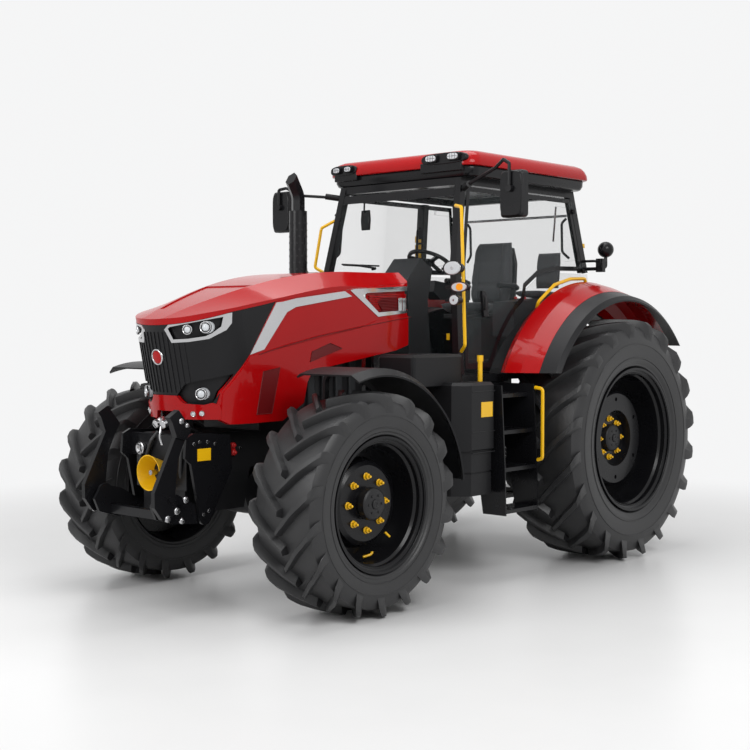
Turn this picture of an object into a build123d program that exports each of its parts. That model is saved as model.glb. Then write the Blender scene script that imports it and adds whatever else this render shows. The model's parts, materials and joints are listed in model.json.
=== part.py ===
"""Four-wheel-drive farm tractor: frame, wheels, cab, hood and both linkages.

Millimetres.  +X ahead, +Y to the tractor's left, +Z up, ground at z = 0.
The origin is on the ground under the middle of the whole tractor.
"""

from build123d import *
from math import cos, hypot, radians, sin
import os

os.makedirs("parts", exist_ok=True)

# ---------------------------------------------------------------- driving sizes
REAR_AXLE_X = -1470
WHEELBASE = 3150
GAP = 6            # working gap between pieces that move past each other
SEAM = 2           # gap between neighbouring fixed panels
PIN_CLEARANCE = 0.5


def ahead(distance):
    """X of a place given as its distance ahead of the rear axle."""
    return REAR_AXLE_X + distance


FRONT_AXLE_X = ahead(WHEELBASE)
SIDES = {"left": 1, "right": -1}

# Tyres and rims: radius, width, wheel centre from the middle plane, rim flange radius
REAR_TYRE_R = 1025
REAR_TYRE_W = 710
REAR_TRACK = 1095
REAR_RIM_R = 610
REAR_DISC_INSET = 189
REAR_LUGS = 17
FRONT_TYRE_R = 775
FRONT_TYRE_W = 574
FRONT_TRACK = 1077
FRONT_RIM_R = 470
FRONT_DISC_INSET = 159
FRONT_LUGS = 15
LUG_HEIGHT = 62
FLANGE_INSET = 30      # rim flange behind the tyre's side
HUB_DEPTH = 110        # disc face to the back of the hub boss
SPINDLE_R = 55
HUB_FRONT_R = 150
SPINDLE_DEPTH = 60

# Front axle and steering
KINGPIN_Y = 800
KINGPIN_R = 32
YOKE_R = 92
YOKE_H = 250
KNUCKLE_PLATE = 46
STEER_ARM = 190

# Frame
FRAME_HALF = 225
FRAME_TOP = 1240
ENGINE = (ahead(2230), ahead(3330), 300, 1000, 1960)   # x from, x to, half width, z from, z to

# Hood
HOOD_HALF = 450
HOOD_REAR_X = ahead(1860)
HOOD_SKIN = 24

# Cab
CAB_LEAN = 0.09           # inward lean of the sides, per unit of height
CAB_HALF_TOP = 660        # half width over the pillars at the roof line
ROOF_LINE = 3200
GLASS_T = 8
PILLAR = 60
FLOOR_Z = 1360
ARCH_HALF = 600           # half width of the cab between the wheel arches

# Fenders
FENDER_SKIN = 14
REAR_ARC = (32, 141)      # start and end of the rear fender, degrees up from ahead
FRONT_FENDER_R = 932
FRONT_ARC = (73, 174)
FRONT_FENDER_Y = (770, 1350)


def cab_side(z):
    """Half width of the cab's outer glass plane at height z."""
    return CAB_HALF_TOP + (ROOF_LINE - z) * CAB_LEAN


# ---------------------------------------------------------------- shape helpers
def slab_xz(points, y_from, y_to, mode=Mode.ADD):
    """Side-view outline (x, z), as thick as y_from to y_to."""
    with BuildSketch(Plane.XZ.offset(-y_to)) as outline:
        with BuildLine():
            Polyline(*points, close=True)
        make_face()
    extrude(outline.sketch, amount=y_to - y_from, mode=mode)


def slab_xy(points, z_from, z_to, mode=Mode.ADD):
    """Plan outline (x, y), as high as z_from to z_to."""
    with BuildSketch(Plane.XY.offset(z_from)) as outline:
        with BuildLine():
            Polyline(*points, close=True)
        make_face()
    extrude(outline.sketch, amount=z_to - z_from, mode=mode)


def slab_yz(points, x_from, x_to, mode=Mode.ADD):
    """Front-view outline (y, z), as long as x_from to x_to."""
    with BuildSketch(Plane.YZ.offset(x_from)) as outline:
        with BuildLine():
            Polyline(*points, close=True)
        make_face()
    extrude(outline.sketch, amount=x_to - x_from, mode=mode)


def block(x_from, x_to, y_from, y_to, z_from, z_to, mode=Mode.ADD):
    """Plain block between three pairs of limits."""
    corners = ((x_from, y_from), (x_to, y_from), (x_to, y_to), (x_from, y_to))
    slab_xy(corners, z_from, z_to, mode)


def rod(start, end, radius, mode=Mode.ADD):
    """Round bar from one point to another."""
    along = Vector(*end) - Vector(*start)
    with BuildSketch(Plane(origin=start, z_dir=along)) as section:
        Circle(radius)
    extrude(section.sketch, amount=along.length, mode=mode)


def bar(start, end, width, depth, mode=Mode.ADD):
    """Flat bar from one point to another, its width along Y."""
    along = Vector(*end) - Vector(*start)
    with BuildSketch(Plane(origin=start, x_dir=(0, 1, 0), z_dir=along)) as section:
        Rectangle(width, depth)
    extrude(section.sketch, amount=along.length, mode=mode)


def bent_tube(points, radius, bend):
    """Six-sided tube along straight runs joined by bends."""
    with BuildLine() as path:
        FilletPolyline(*points, radius=bend)
    start = path.line @ 0
    with BuildSketch(Plane(origin=start, z_dir=path.line % 0)) as section:
        RegularPolygon(radius, 6)
    sweep(section.sketch, path=path.line)


def write(part, name):
    """Label a finished piece and write it to its own file."""
    part.label = name
    export_step(part, f"parts/{name}.step")


# ---------------------------------------------------------------- tyres and rims
# Rings of the carcass: share of the half width, radius less than the tread's
CARCASS = ((-1.0, 120), (-0.90, 12), (0.90, 12), (1.0, 120))
# Both ends of one lug: share of the half width, lag in pitches, half widths at top and
# foot, drop of its top, and depth of its foot below the tread
LUG = ((0.02, -0.40, 20, 34, 0, 20), (0.985, 0.62, 26, 44, 16, 95))


def ring(axle, y, radius, count):
    """Regular polygon about an axle, on the plane at y."""
    with BuildSketch(Plane(origin=(axle[0], y, axle[1]), x_dir=(1, 0, 0), z_dir=(0, -1, 0))) as face:
        RegularPolygon(radius=radius, side_count=count)
    return face.sketch


def lug_section(axle, y, angle, top_r, foot_r, top_half, foot_half):
    """One cross-section of a lug, on the plane at y, round the axle at angle."""
    with BuildSketch(Plane(origin=(axle[0], y, axle[1]), x_dir=(1, 0, 0), z_dir=(0, -1, 0))) as face:
        with BuildLine(Rotation(0, 0, angle)):
            Polyline((foot_r, -foot_half), (top_r, -top_half), (top_r, top_half),
                     (foot_r, foot_half), close=True)
        make_face()
    return face.sketch


def make_tyre(axle, centre_y, radius, width, bead_r, lugs):
    """Tyre with its lugs fused on: a faceted carcass, one facet a lug."""
    tread_r = radius - LUG_HEIGHT
    half = width / 2
    facets = 2 * lugs
    pitch = 360 / lugs
    with BuildPart() as tyre:
        rings = []
        for share, less in CARCASS:
            ring_r = max(tread_r - less, bead_r + 40)
            rings.append(ring(axle, centre_y + share * half, ring_r, facets))
        loft(rings, ruled=True)
        turned = []
        for side in (1, -1):
            start = 0 if side > 0 else pitch / 2
            sections = []
            for share, lag, top_half, foot_half, drop, depth in LUG:
                sections.append(lug_section(
                    axle, centre_y + side * share * half, start + lag * pitch,
                    radius - drop, tread_r - depth, top_half, foot_half))
            with BuildPart(mode=Mode.PRIVATE) as lug:
                loft(sections, ruled=True)
            spin = Axis((axle[0], 0, axle[1]), (0, -1, 0))
            turned += [lug.part.rotate(spin, turn * pitch) for turn in range(lugs)]
        add(turned)
        extrude(ring(axle, centre_y + half, bead_r + 3, facets), amount=width, mode=Mode.SUBTRACT)
    return tyre.part


def make_rim(axle, centre_y, side, flange_r, width, hub_depth, profile, holes):
    """Deep-dish rim turned from its profile (radius, depth behind the flange)."""
    flange_y = centre_y + side * (width / 2 - FLANGE_INSET)
    hub_back_y = flange_y - side * hub_depth
    with BuildPart() as rim:
        with BuildSketch(Plane.XY) as section:
            with BuildLine():
                Polyline(*[(axle[0] + r, flange_y - side * depth) for r, depth in profile], close=True)
            make_face()
        revolve(axis=Axis((axle[0], 0, 0), (0, 1, 0)), revolution_arc=360)
        rod((axle[0], hub_back_y - side, 0), (axle[0], hub_back_y + side * (SPINDLE_DEPTH + 5), 0),
            SPINDLE_R + PIN_CLEARANCE, mode=Mode.SUBTRACT)
        count, circle_r, hole_r = holes
        for turn in range(count):
            angle = radians(turn * 360 / count)
            x, z = axle[0] + circle_r * sin(angle), circle_r * cos(angle)
            rod((x, flange_y, z), (x, hub_back_y, z), hole_r, mode=Mode.SUBTRACT)
    return rim.part.translate((0, 0, axle[1]))


# Rim profiles as (radius, depth behind the flange): cap, disc, well, steps, flange, back
FRONT_RIM = ((0, 72), (92, 72), (104, 84), (108, 159), (262, 159), (290, 178), (318, 250), (408, 262),
             (408, 78), (424, 62), (424, 32), (454, 18), (454, 0), (FRONT_RIM_R, 0), (FRONT_RIM_R, 514),
             (424, 292), (306, 292), (276, 205), (HUB_FRONT_R, 187), (HUB_FRONT_R, 269), (0, 269))
REAR_RIM = ((0, 205), (95, 205), (110, 220), (112, 262), (236, 262), (240, 189), (385, 189), (402, 204),
            (430, 300), (548, 315), (548, 92), (564, 74), (564, 38), (594, 20), (594, 0), (REAR_RIM_R, 0),
            (REAR_RIM_R, 650), (564, 372), (420, 345), (392, 222), (256, 222), (250, 299), (0, 299))
# Axle centre (x, z), wheel centre y, tyre radius and width, rim radius, hub depth, lugs, rim
# profile, rim holes (count, circle radius, hole radius)
WHEELS = {
    "front": ((FRONT_AXLE_X, FRONT_TYRE_R), FRONT_TRACK, FRONT_TYRE_R, FRONT_TYRE_W,
              FRONT_RIM_R, FRONT_DISC_INSET + HUB_DEPTH, FRONT_LUGS, FRONT_RIM, (0, 0, 0)),
    "rear": ((REAR_AXLE_X, REAR_TYRE_R), REAR_TRACK, REAR_TYRE_R, REAR_TYRE_W,
             REAR_RIM_R, REAR_DISC_INSET + HUB_DEPTH, REAR_LUGS, REAR_RIM, (6, 335, 18)),
}
for end, (axle, track, tyre_r, tyre_w, rim_r, hub_depth, lugs, profile, holes) in WHEELS.items():
    left_tyre = make_tyre(axle, track, tyre_r, tyre_w, rim_r, lugs)
    left_rim = make_rim(axle, track, 1, rim_r, tyre_w, hub_depth, profile, holes)
    write(left_tyre, f"tyre_{end}_left")
    write(left_rim, f"rim_{end}_left")
    write(mirror(left_tyre, about=Plane.XZ), f"tyre_{end}_right")
    write(mirror(left_rim, about=Plane.XZ), f"rim_{end}_right")


# ---------------------------------------------------------------- frame and axles
FRONT_AXLE_Z = FRONT_TYRE_R
REAR_AXLE_Z = REAR_TYRE_R
ARCH_CLEAR = 200       # half height and half length of the frame's arch over the axle
FRAME_NOSE = ahead(3960)
FRAME_TAIL = ahead(2250)
SUMP_Z = 600
NOSE_PLATE_Z = 690

with BuildPart() as front_frame:
    arch_top = FRONT_AXLE_Z + ARCH_CLEAR
    slab_xz((
        (FRAME_TAIL, SUMP_Z), (FRONT_AXLE_X - ARCH_CLEAR - 130, SUMP_Z),
        (FRONT_AXLE_X - ARCH_CLEAR, arch_top), (FRONT_AXLE_X + ARCH_CLEAR, arch_top),
        (FRONT_AXLE_X + ARCH_CLEAR + 60, NOSE_PLATE_Z), (FRAME_NOSE, NOSE_PLATE_Z),
        (FRAME_NOSE, FRAME_TOP), (FRAME_TAIL, FRAME_TOP),
    ), -FRAME_HALF, FRAME_HALF)
write(front_frame.part, "front_frame")

with BuildPart() as engine_block:
    x_from, x_to, half, z_from, z_to = ENGINE
    block(x_from, x_to, -half, half, FRAME_TOP, z_to)
write(engine_block.part, "engine_block")

BEAM_R = 80
DIFF_R = 180
STEER_BAR_R = 20
STEER_BAR_X = FRONT_AXLE_X - STEER_ARM
STEER_BARREL_R = 46
STEER_BARREL_HALF = 200
with BuildPart() as front_axle:
    rod((FRONT_AXLE_X, -KINGPIN_Y, FRONT_AXLE_Z), (FRONT_AXLE_X, KINGPIN_Y, FRONT_AXLE_Z), BEAM_R)
    rod((FRONT_AXLE_X, -150, FRONT_AXLE_Z), (FRONT_AXLE_X, 150, FRONT_AXLE_Z), DIFF_R)
    block(STEER_BAR_X - 10, FRONT_AXLE_X, -120, 120, FRONT_AXLE_Z - 40, FRONT_AXLE_Z + 40)
    rod((STEER_BAR_X, -STEER_BARREL_HALF, FRONT_AXLE_Z),
        (STEER_BAR_X, STEER_BARREL_HALF, FRONT_AXLE_Z), STEER_BARREL_R)
    block(FRONT_AXLE_X - 110, FRONT_AXLE_X + 110, -110, 110,
          FRONT_AXLE_Z + 100, FRONT_AXLE_Z + ARCH_CLEAR)
    for side in SIDES.values():
        low = (FRONT_AXLE_X, side * KINGPIN_Y, FRONT_AXLE_Z - YOKE_H / 2)
        high = (FRONT_AXLE_X, side * KINGPIN_Y, FRONT_AXLE_Z + YOKE_H / 2)
        rod(low, high, YOKE_R)
    for side in SIDES.values():
        low = (FRONT_AXLE_X, side * KINGPIN_Y, FRONT_AXLE_Z - YOKE_H / 2)
        high = (FRONT_AXLE_X, side * KINGPIN_Y, FRONT_AXLE_Z + YOKE_H / 2)
        rod(low, high, KINGPIN_R + PIN_CLEARANCE, mode=Mode.SUBTRACT)
    rod((STEER_BAR_X, -STEER_BARREL_HALF, FRONT_AXLE_Z),
        (STEER_BAR_X, STEER_BARREL_HALF, FRONT_AXLE_Z),
        STEER_BAR_R + PIN_CLEARANCE, mode=Mode.SUBTRACT)
write(front_axle.part, "front_axle")

STEER_EYE_Y = 760
STEER_EYE_R = 30
with BuildPart() as steering_rod:
    reach = STEER_EYE_Y - STEER_EYE_R - GAP
    rod((STEER_BAR_X, -reach, FRONT_AXLE_Z), (STEER_BAR_X, reach, FRONT_AXLE_Z), STEER_BAR_R)
write(steering_rod.part, "steering_rod")

FRONT_HUB_BACK = FRONT_TRACK + FRONT_TYRE_W / 2 - FLANGE_INSET - FRONT_DISC_INSET - HUB_DEPTH
KNUCKLE_IN_Y = 925
with BuildPart() as knuckle:
    hub_face = FRONT_HUB_BACK - GAP
    rod((FRONT_AXLE_X, KNUCKLE_IN_Y, FRONT_AXLE_Z), (FRONT_AXLE_X, hub_face, FRONT_AXLE_Z), HUB_FRONT_R)
    rod((FRONT_AXLE_X, hub_face, FRONT_AXLE_Z),
        (FRONT_AXLE_X, FRONT_HUB_BACK + SPINDLE_DEPTH, FRONT_AXLE_Z), SPINDLE_R)
    for up in (1, -1):
        plate_z = FRONT_AXLE_Z + up * (YOKE_H / 2 + GAP + KNUCKLE_PLATE / 2)
        slab_xy((
            (FRONT_AXLE_X - 70, KINGPIN_Y - 70), (FRONT_AXLE_X + 70, KINGPIN_Y - 70),
            (FRONT_AXLE_X + 100, KNUCKLE_IN_Y + 60), (FRONT_AXLE_X - 100, KNUCKLE_IN_Y + 60),
        ), plate_z - KNUCKLE_PLATE / 2, plate_z + KNUCKLE_PLATE / 2)
    rod((FRONT_AXLE_X, KINGPIN_Y, FRONT_AXLE_Z - YOKE_H / 2 - KNUCKLE_PLATE),
        (FRONT_AXLE_X, KINGPIN_Y, FRONT_AXLE_Z + YOKE_H / 2 + KNUCKLE_PLATE), KINGPIN_R)
    slab_xy((
        (FRONT_AXLE_X - 60, KNUCKLE_IN_Y + 70), (FRONT_AXLE_X - 105, KNUCKLE_IN_Y),
        (STEER_BAR_X + 26, STEER_EYE_Y - 8), (STEER_BAR_X - 26, STEER_EYE_Y + 8),
        (FRONT_AXLE_X - 135, KNUCKLE_IN_Y + 70),
    ), FRONT_AXLE_Z - 22, FRONT_AXLE_Z + 22)
    rod((STEER_BAR_X, STEER_EYE_Y, FRONT_AXLE_Z - 30),
        (STEER_BAR_X, STEER_EYE_Y, FRONT_AXLE_Z + 30), STEER_EYE_R)
write(knuckle.part, "knuckle_left")
write(mirror(knuckle.part, about=Plane.XZ), "knuckle_right")

# ---------------------------------------------------------------- front fenders
BRACKET_R = 24
BRACKET_Y = KINGPIN_Y - 65
with BuildPart() as front_fender:
    axis_y = Axis((FRONT_AXLE_X, 0, FRONT_AXLE_Z), (0, -1, 0))
    inner_y, outer_y = FRONT_FENDER_Y
    start = radians(FRONT_ARC[0])
    radial = Plane(origin=(FRONT_AXLE_X, 0, FRONT_AXLE_Z), x_dir=(cos(start), 0, sin(start)),
                   z_dir=(-sin(start), 0, cos(start)))
    with BuildSketch(radial) as section:
        with BuildLine():
            Polyline((FRONT_FENDER_R - 22, inner_y), (FRONT_FENDER_R, inner_y + 40),
                     (FRONT_FENDER_R, outer_y - 60), (FRONT_FENDER_R - 45, outer_y),
                     (FRONT_FENDER_R - 57, outer_y - 6), (FRONT_FENDER_R - 12, outer_y - 68),
                     (FRONT_FENDER_R - 12, inner_y + 46), (FRONT_FENDER_R - 34, inner_y + 6),
                     close=True)
        make_face()
    revolve(section.sketch, axis=axis_y, revolution_arc=FRONT_ARC[1] - FRONT_ARC[0])
    bracket_x = FRONT_AXLE_X - 60
    foot_z = FRONT_AXLE_Z + YOKE_H / 2 + GAP + KNUCKLE_PLATE
    top_z = FRONT_AXLE_Z + FRONT_FENDER_R - 12 - BRACKET_R - 4
    bent_tube(((bracket_x, BRACKET_Y, foot_z), (bracket_x, BRACKET_Y, top_z),
               (bracket_x, outer_y - 150, top_z)), BRACKET_R, 90)
    block(bracket_x - 120, bracket_x + 120, inner_y + 80, outer_y - 160, top_z, top_z + BRACKET_R + 3)
write(front_fender.part, "front_fender_left")
write(mirror(front_fender.part, about=Plane.XZ), "front_fender_right")

# ---------------------------------------------------------------- driveline
GEARBOX_HALF = 260
GEARBOX_TOP = 1180
HOUSING_HALF_X = 300
HOUSING_HALF_Y = 330
HOUSING_TOP = 1330
HOUSING_LOW = 700
TRUMPET_R = (190, 140)
REAR_HUB_BACK = REAR_TRACK + REAR_TYRE_W / 2 - FLANGE_INSET - REAR_DISC_INSET - HUB_DEPTH
with BuildPart() as transmission:
    slab_xz((
        (REAR_AXLE_X + HOUSING_HALF_X, 640), (ahead(1200), 560), (ahead(2100), SUMP_Z),
        (FRAME_TAIL, SUMP_Z + 40), (FRAME_TAIL, GEARBOX_TOP + 40), (ahead(1700), GEARBOX_TOP),
        (REAR_AXLE_X + HOUSING_HALF_X, GEARBOX_TOP),
    ), -GEARBOX_HALF, GEARBOX_HALF)
write(transmission.part, "transmission")

with BuildPart() as rear_axle:
    slab_xz((
        (REAR_AXLE_X - HOUSING_HALF_X, 760), (REAR_AXLE_X - 180, HOUSING_LOW),
        (REAR_AXLE_X + HOUSING_HALF_X, HOUSING_LOW), (REAR_AXLE_X + HOUSING_HALF_X, 1280),
        (REAR_AXLE_X + 180, HOUSING_TOP), (REAR_AXLE_X - HOUSING_HALF_X, HOUSING_TOP),
    ), -HOUSING_HALF_Y, HOUSING_HALF_Y)
    for side in SIDES.values():
        facing = Plane(origin=(REAR_AXLE_X, side * HOUSING_HALF_Y, REAR_AXLE_Z), z_dir=(0, side, 0))
        length = REAR_HUB_BACK - GAP - HOUSING_HALF_Y
        with BuildSketch(facing) as root:
            Circle(TRUMPET_R[0])
        with BuildSketch(facing.offset(length)) as tip:
            Circle(TRUMPET_R[1])
        loft([root.sketch, tip.sketch])
        rod((REAR_AXLE_X, side * (REAR_HUB_BACK - GAP), REAR_AXLE_Z),
            (REAR_AXLE_X, side * (REAR_HUB_BACK + SPINDLE_DEPTH), REAR_AXLE_Z), SPINDLE_R)
write(rear_axle.part, "rear_axle")

# ---------------------------------------------------------------- hood
# Sections across the hood, cab to nose: x, half width of the crown, its height, and the
# height of the shoulder's foot
HOOD_SECTIONS = (
    (HOOD_REAR_X, 360, 2418, 2345), (ahead(2500), 335, 2405, 2293), (ahead(3050), 300, 2352, 2232),
    (ahead(3400), 250, 2272, 2172), (ahead(3700), 190, 2180, 2118), (ahead(3900), 140, 2108, 2068),
    (ahead(4110), 100, 2018, 2002))
# The nose in plan at its foot, centre to side, and how far it leans ahead per unit of height
NOSE_PLAN_Z = 1350
NOSE_FRONT = (ahead(3925), 0)
NOSE_CORNER_FRONT = (ahead(3864), 250)
NOSE_CORNER_MID = (ahead(3727), 378)
NOSE_CORNER_REAR = (ahead(3459), HOOD_HALF)
NOSE_LEAN = 0.1986
# Underside of the hood in side view, cab to nose
HOOD_UNDER = (
    (HOOD_REAR_X, 1842), (ahead(2010), 1800), (ahead(2940), 1666), (ahead(2995), 1586),
    (ahead(3034), 1433), (ahead(3250), 1315), (ahead(3700), 1310), (ahead(3760), 1343))
HOOD_HIGH_Z = 2500
HOOD_PIN = (ahead(1950), 2300)
HOOD_PIN_R = 15
HOOD_EAR_Y = (190, 206)


def hood_solid(inset):
    """The hood's closed form, shrunk all round by inset; it runs on past the open sides."""
    past = 80 if inset > 0 else 0
    with BuildPart() as form:
        sections = []
        for x, crown_half, crown_z, foot_z in HOOD_SECTIONS:
            half = HOOD_HALF - inset
            place = x - past if x == HOOD_REAR_X else x
            with BuildSketch(Plane.YZ.offset(place)) as section:
                with BuildLine():
                    Polyline((-half, 1100), (-half, foot_z - inset), (-crown_half, crown_z - inset),
                             (crown_half, crown_z - inset), (half, foot_z - inset), (half, 1100),
                             close=True)
                make_face()
            sections.append(section.sketch)
        loft(sections)
        under = [(x, z - past) for x, z in HOOD_UNDER]
        rear_x, front_x = HOOD_REAR_X - past, ahead(4200)
        slab_xz([(rear_x, under[0][1])] + under[1:] + [(front_x, under[-1][1]),
                (front_x, HOOD_HIGH_Z), (rear_x, HOOD_HIGH_Z)], -600, 600, mode=Mode.INTERSECT)
        drop = NOSE_PLAN_Z - 1100
        with BuildSketch(Plane.XY.offset(1100)) as plan:
            with BuildLine(Location((-drop * NOSE_LEAN, 0, 0))):
                rear = (ahead(1000), HOOD_HALF)
                Polyline(NOSE_CORNER_REAR, rear, (rear[0], -rear[1]),
                         (NOSE_CORNER_REAR[0], -NOSE_CORNER_REAR[1]))
                for side in (1, -1):
                    ThreePointArc((NOSE_CORNER_REAR[0], side * NOSE_CORNER_REAR[1]),
                                  (NOSE_CORNER_MID[0], side * NOSE_CORNER_MID[1]),
                                  (NOSE_CORNER_FRONT[0], side * NOSE_CORNER_FRONT[1]))
                ThreePointArc((NOSE_CORNER_FRONT[0], -NOSE_CORNER_FRONT[1]), NOSE_FRONT, NOSE_CORNER_FRONT)
            make_face()
            if inset:
                offset(amount=-inset, kind=Kind.INTERSECTION)
        rise = HOOD_HIGH_Z - 1100
        extrude(plan.sketch, amount=rise * hypot(1, NOSE_LEAN), dir=(NOSE_LEAN, 0, 1), mode=Mode.INTERSECT)
    return form.part


# Lines that part the hood's skin, in side view
SEAM_LINE = ((ahead(1700), 2346), (ahead(2508), 2273), (ahead(3245), 2179), (ahead(3409), 2146),
             (ahead(3713), 2092), (ahead(4035), 2004), (ahead(4200), 1960))
DIAGONAL = ((ahead(3308), 2163), (ahead(3560), 1791), (ahead(3688), 1641), (ahead(3764), 1540),
            (ahead(3785), 1440))
# Bumper in front view, its left half from the middle outward, then back along its foot
BUMPER_LINE = ((0, 1511), (122, 1510), (151, 1474), (176, 1457), (302, 1448), (341, 1462), (372, 1447),
               (378, 1384), (366, 1345), (125, 1345), (100, 1400), (0, 1400))
BUMPER_REAR_X = ahead(3680)
BUMPER_PROUD = 8
NOSE_AIM = 41.7            # azimuth that the lamps' outlines are drawn square to, degrees
AIM = Plane(origin=(ahead(3600), 0, 0), x_dir=(-sin(radians(NOSE_AIM)), cos(radians(NOSE_AIM)), 0),
            z_dir=(cos(radians(NOSE_AIM)), sin(radians(NOSE_AIM)), 0))
LAMP_LINE = ((-211, 1968), (-181, 2001), (256, 2086), (253, 2014), (218, 1966), (103, 1905), (-36, 1884),
             (-159, 1877))
LENS_LINE = ((-184, 1974), (-170, 1986), (198, 2056), (184, 1990), (122, 1943), (78, 1923), (-39, 1906),
             (-146, 1900))
POCKET_LINE = ((-134, 1512), (-78, 1587), (-29, 1605), (262, 1662), (175, 1542), (118, 1464), (64, 1450),
               (-79, 1459), (-106, 1476))
GRILLE_T = 14
AIM_REACH = 700


def slab_aim(points, depth_from, depth_to, mode=Mode.ADD):
    """Outline (u, z) seen square from the lamps' aim, between two depths along it."""
    with BuildSketch(AIM.offset(depth_from)) as outline:
        with BuildLine():
            Polyline(*points, close=True)
        make_face()
    extrude(outline.sketch, amount=depth_to - depth_from, mode=mode)


def both_sides(line):
    """A left-half outline (y, z) closed by its mirror image."""
    return line + tuple((-y, z) for y, z in reversed(line) if y)


def grown(line, by):
    """An outline pushed outward from its middle by a few millimetres."""
    mid_u = sum(u for u, _ in line) / len(line)
    mid_z = sum(z for _, z in line) / len(line)
    return tuple((u + by * (u - mid_u) / hypot(u - mid_u, z - mid_z),
                  z + by * (z - mid_z) / hypot(u - mid_u, z - mid_z)) for u, z in line)


HOUSING_DEPTH = 34
HOUSING_T = 8
SIDE_PROUD = 12
TRIM_PROUD = 5
VENT_DEPTH = 12
VENT_T = 4
FIN_PITCH = 40
FIN_PROUD = 6
# The closed form at every depth that the skin, housings and trim start or end at
form = {depth: hood_solid(depth) for depth in {
    0, HOOD_SKIN, GRILLE_T, VENT_DEPTH, VENT_DEPTH - VENT_T, HOUSING_DEPTH, HOUSING_DEPTH + HOUSING_T,
    -BUMPER_PROUD, -SIDE_PROUD, -TRIM_PROUD, -FIN_PROUD, FIN_PROUD}}


def layer(from_depth, to_depth):
    """The hood's form between two depths under its surface."""
    with BuildPart() as between:
        add(form[from_depth])
        add(form[to_depth], mode=Mode.SUBTRACT)
    return between.part


hood_skin = layer(0, HOOD_SKIN)

VENT_LINE = ((ahead(3885), 128), (ahead(3345), 246), (ahead(3345), -246), (ahead(3885), -128))
with BuildPart() as vent_space:
    slab_xy(VENT_LINE, 1900, HOOD_HIGH_Z)
    add(form[VENT_DEPTH], mode=Mode.SUBTRACT)

with BuildPart() as hood_shell:
    add(hood_skin)
    slab_xz(SEAM_LINE + ((ahead(4200), HOOD_HIGH_Z), (ahead(1700), HOOD_HIGH_Z)), -600, 600,
            mode=Mode.INTERSECT)
    add(vent_space.part, mode=Mode.SUBTRACT)
    with BuildPart(mode=Mode.PRIVATE) as ears:
        slab_xz(((HOOD_PIN[0] - 25, HOOD_PIN[1] - 25), (HOOD_PIN[0] + 25, HOOD_PIN[1] - 25),
                 (HOOD_PIN[0] + 40, HOOD_HIGH_Z), (HOOD_PIN[0] - 40, HOOD_HIGH_Z)), *HOOD_EAR_Y)
        rod((HOOD_PIN[0], HOOD_EAR_Y[0], HOOD_PIN[1]), (HOOD_PIN[0], HOOD_EAR_Y[1], HOOD_PIN[1]),
            HOOD_PIN_R + PIN_CLEARANCE, mode=Mode.SUBTRACT)
        add(form[0], mode=Mode.INTERSECT)
        mirror(about=Plane.XZ)
    add(ears.part)
write(hood_shell.part, "hood_shell")

# Hood hinge: a cross pin on two posts that stand on the gearbox
HOOD_POST = (ahead(1935), ahead(1965), 100, 160)
with BuildPart() as hood_hinge:
    x_from, x_to, y_from, y_to = HOOD_POST
    block(x_from, x_to, y_from, y_to, GEARBOX_TOP + 22, HOOD_PIN[1])
    mirror(about=Plane.XZ)
    rod((HOOD_PIN[0], -HOOD_EAR_Y[1] - 4, HOOD_PIN[1]), (HOOD_PIN[0], HOOD_EAR_Y[1] + 4, HOOD_PIN[1]), HOOD_PIN_R)
write(hood_hinge.part, "hood_hinge")

with BuildPart() as fins:
    for place in range(-6, 7):
        y = place * FIN_PITCH
        slab_yz(((y - 5, 1530), (y + 5, 1530), (y + 5, 1950), (y - 5, 1950)), ahead(3800), ahead(4200))
    add(layer(-FIN_PROUD, GRILLE_T), mode=Mode.INTERSECT)

# Side-view outline of the black nose, under the seam and ahead of the diagonal
BLACK_SEAM = tuple((x, z - SEAM) for x, z in SEAM_LINE if x > DIAGONAL[0][0])
BLACK_LINE = tuple((x + SEAM, z) for x, z in DIAGONAL[::-1]) + BLACK_SEAM + ((ahead(4200), DIAGONAL[-1][1]),)
with BuildPart() as housings:
    for line in (LAMP_LINE, POCKET_LINE):
        with BuildPart(mode=Mode.PRIVATE) as housing:
            add(layer(GRILLE_T, HOUSING_DEPTH + HOUSING_T))
            slab_aim(grown(line, HOUSING_T), 0, AIM_REACH, mode=Mode.INTERSECT)
            with BuildPart(mode=Mode.PRIVATE) as hollow:
                add(layer(0, HOUSING_DEPTH))
                slab_aim(line, 0, AIM_REACH, mode=Mode.INTERSECT)
            add(hollow.part, mode=Mode.SUBTRACT)
        add(housing.part)
    slab_xz(BLACK_LINE, SEAM, AIM_REACH, mode=Mode.INTERSECT)
    mirror(about=Plane.XZ)

with BuildPart() as nose_grille:
    add(layer(0, GRILLE_T))
    slab_xz(BLACK_LINE, -600, 600, mode=Mode.INTERSECT)
    add(fins.part)
    for side in SIDES.values():
        for line in (LAMP_LINE, POCKET_LINE):
            with BuildPart(mode=Mode.PRIVATE) as hole:
                slab_aim(line, 0, AIM_REACH)
                block(ahead(3000), ahead(4300), -60, AIM_REACH, 1200, 2300, mode=Mode.INTERSECT)
            add(hole.part if side > 0 else mirror(hole.part, about=Plane.XZ), mode=Mode.SUBTRACT)
    add(housings.part)
    slab_yz(both_sides(BUMPER_LINE), BUMPER_REAR_X, ahead(4200), mode=Mode.SUBTRACT)
write(nose_grille.part, "nose_grille")

with BuildPart() as bumper:
    add(layer(-BUMPER_PROUD, HOOD_SKIN))
    slab_yz(both_sides(BUMPER_LINE), BUMPER_REAR_X, ahead(4200), mode=Mode.INTERSECT)
write(bumper.part, "bumper")

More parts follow.
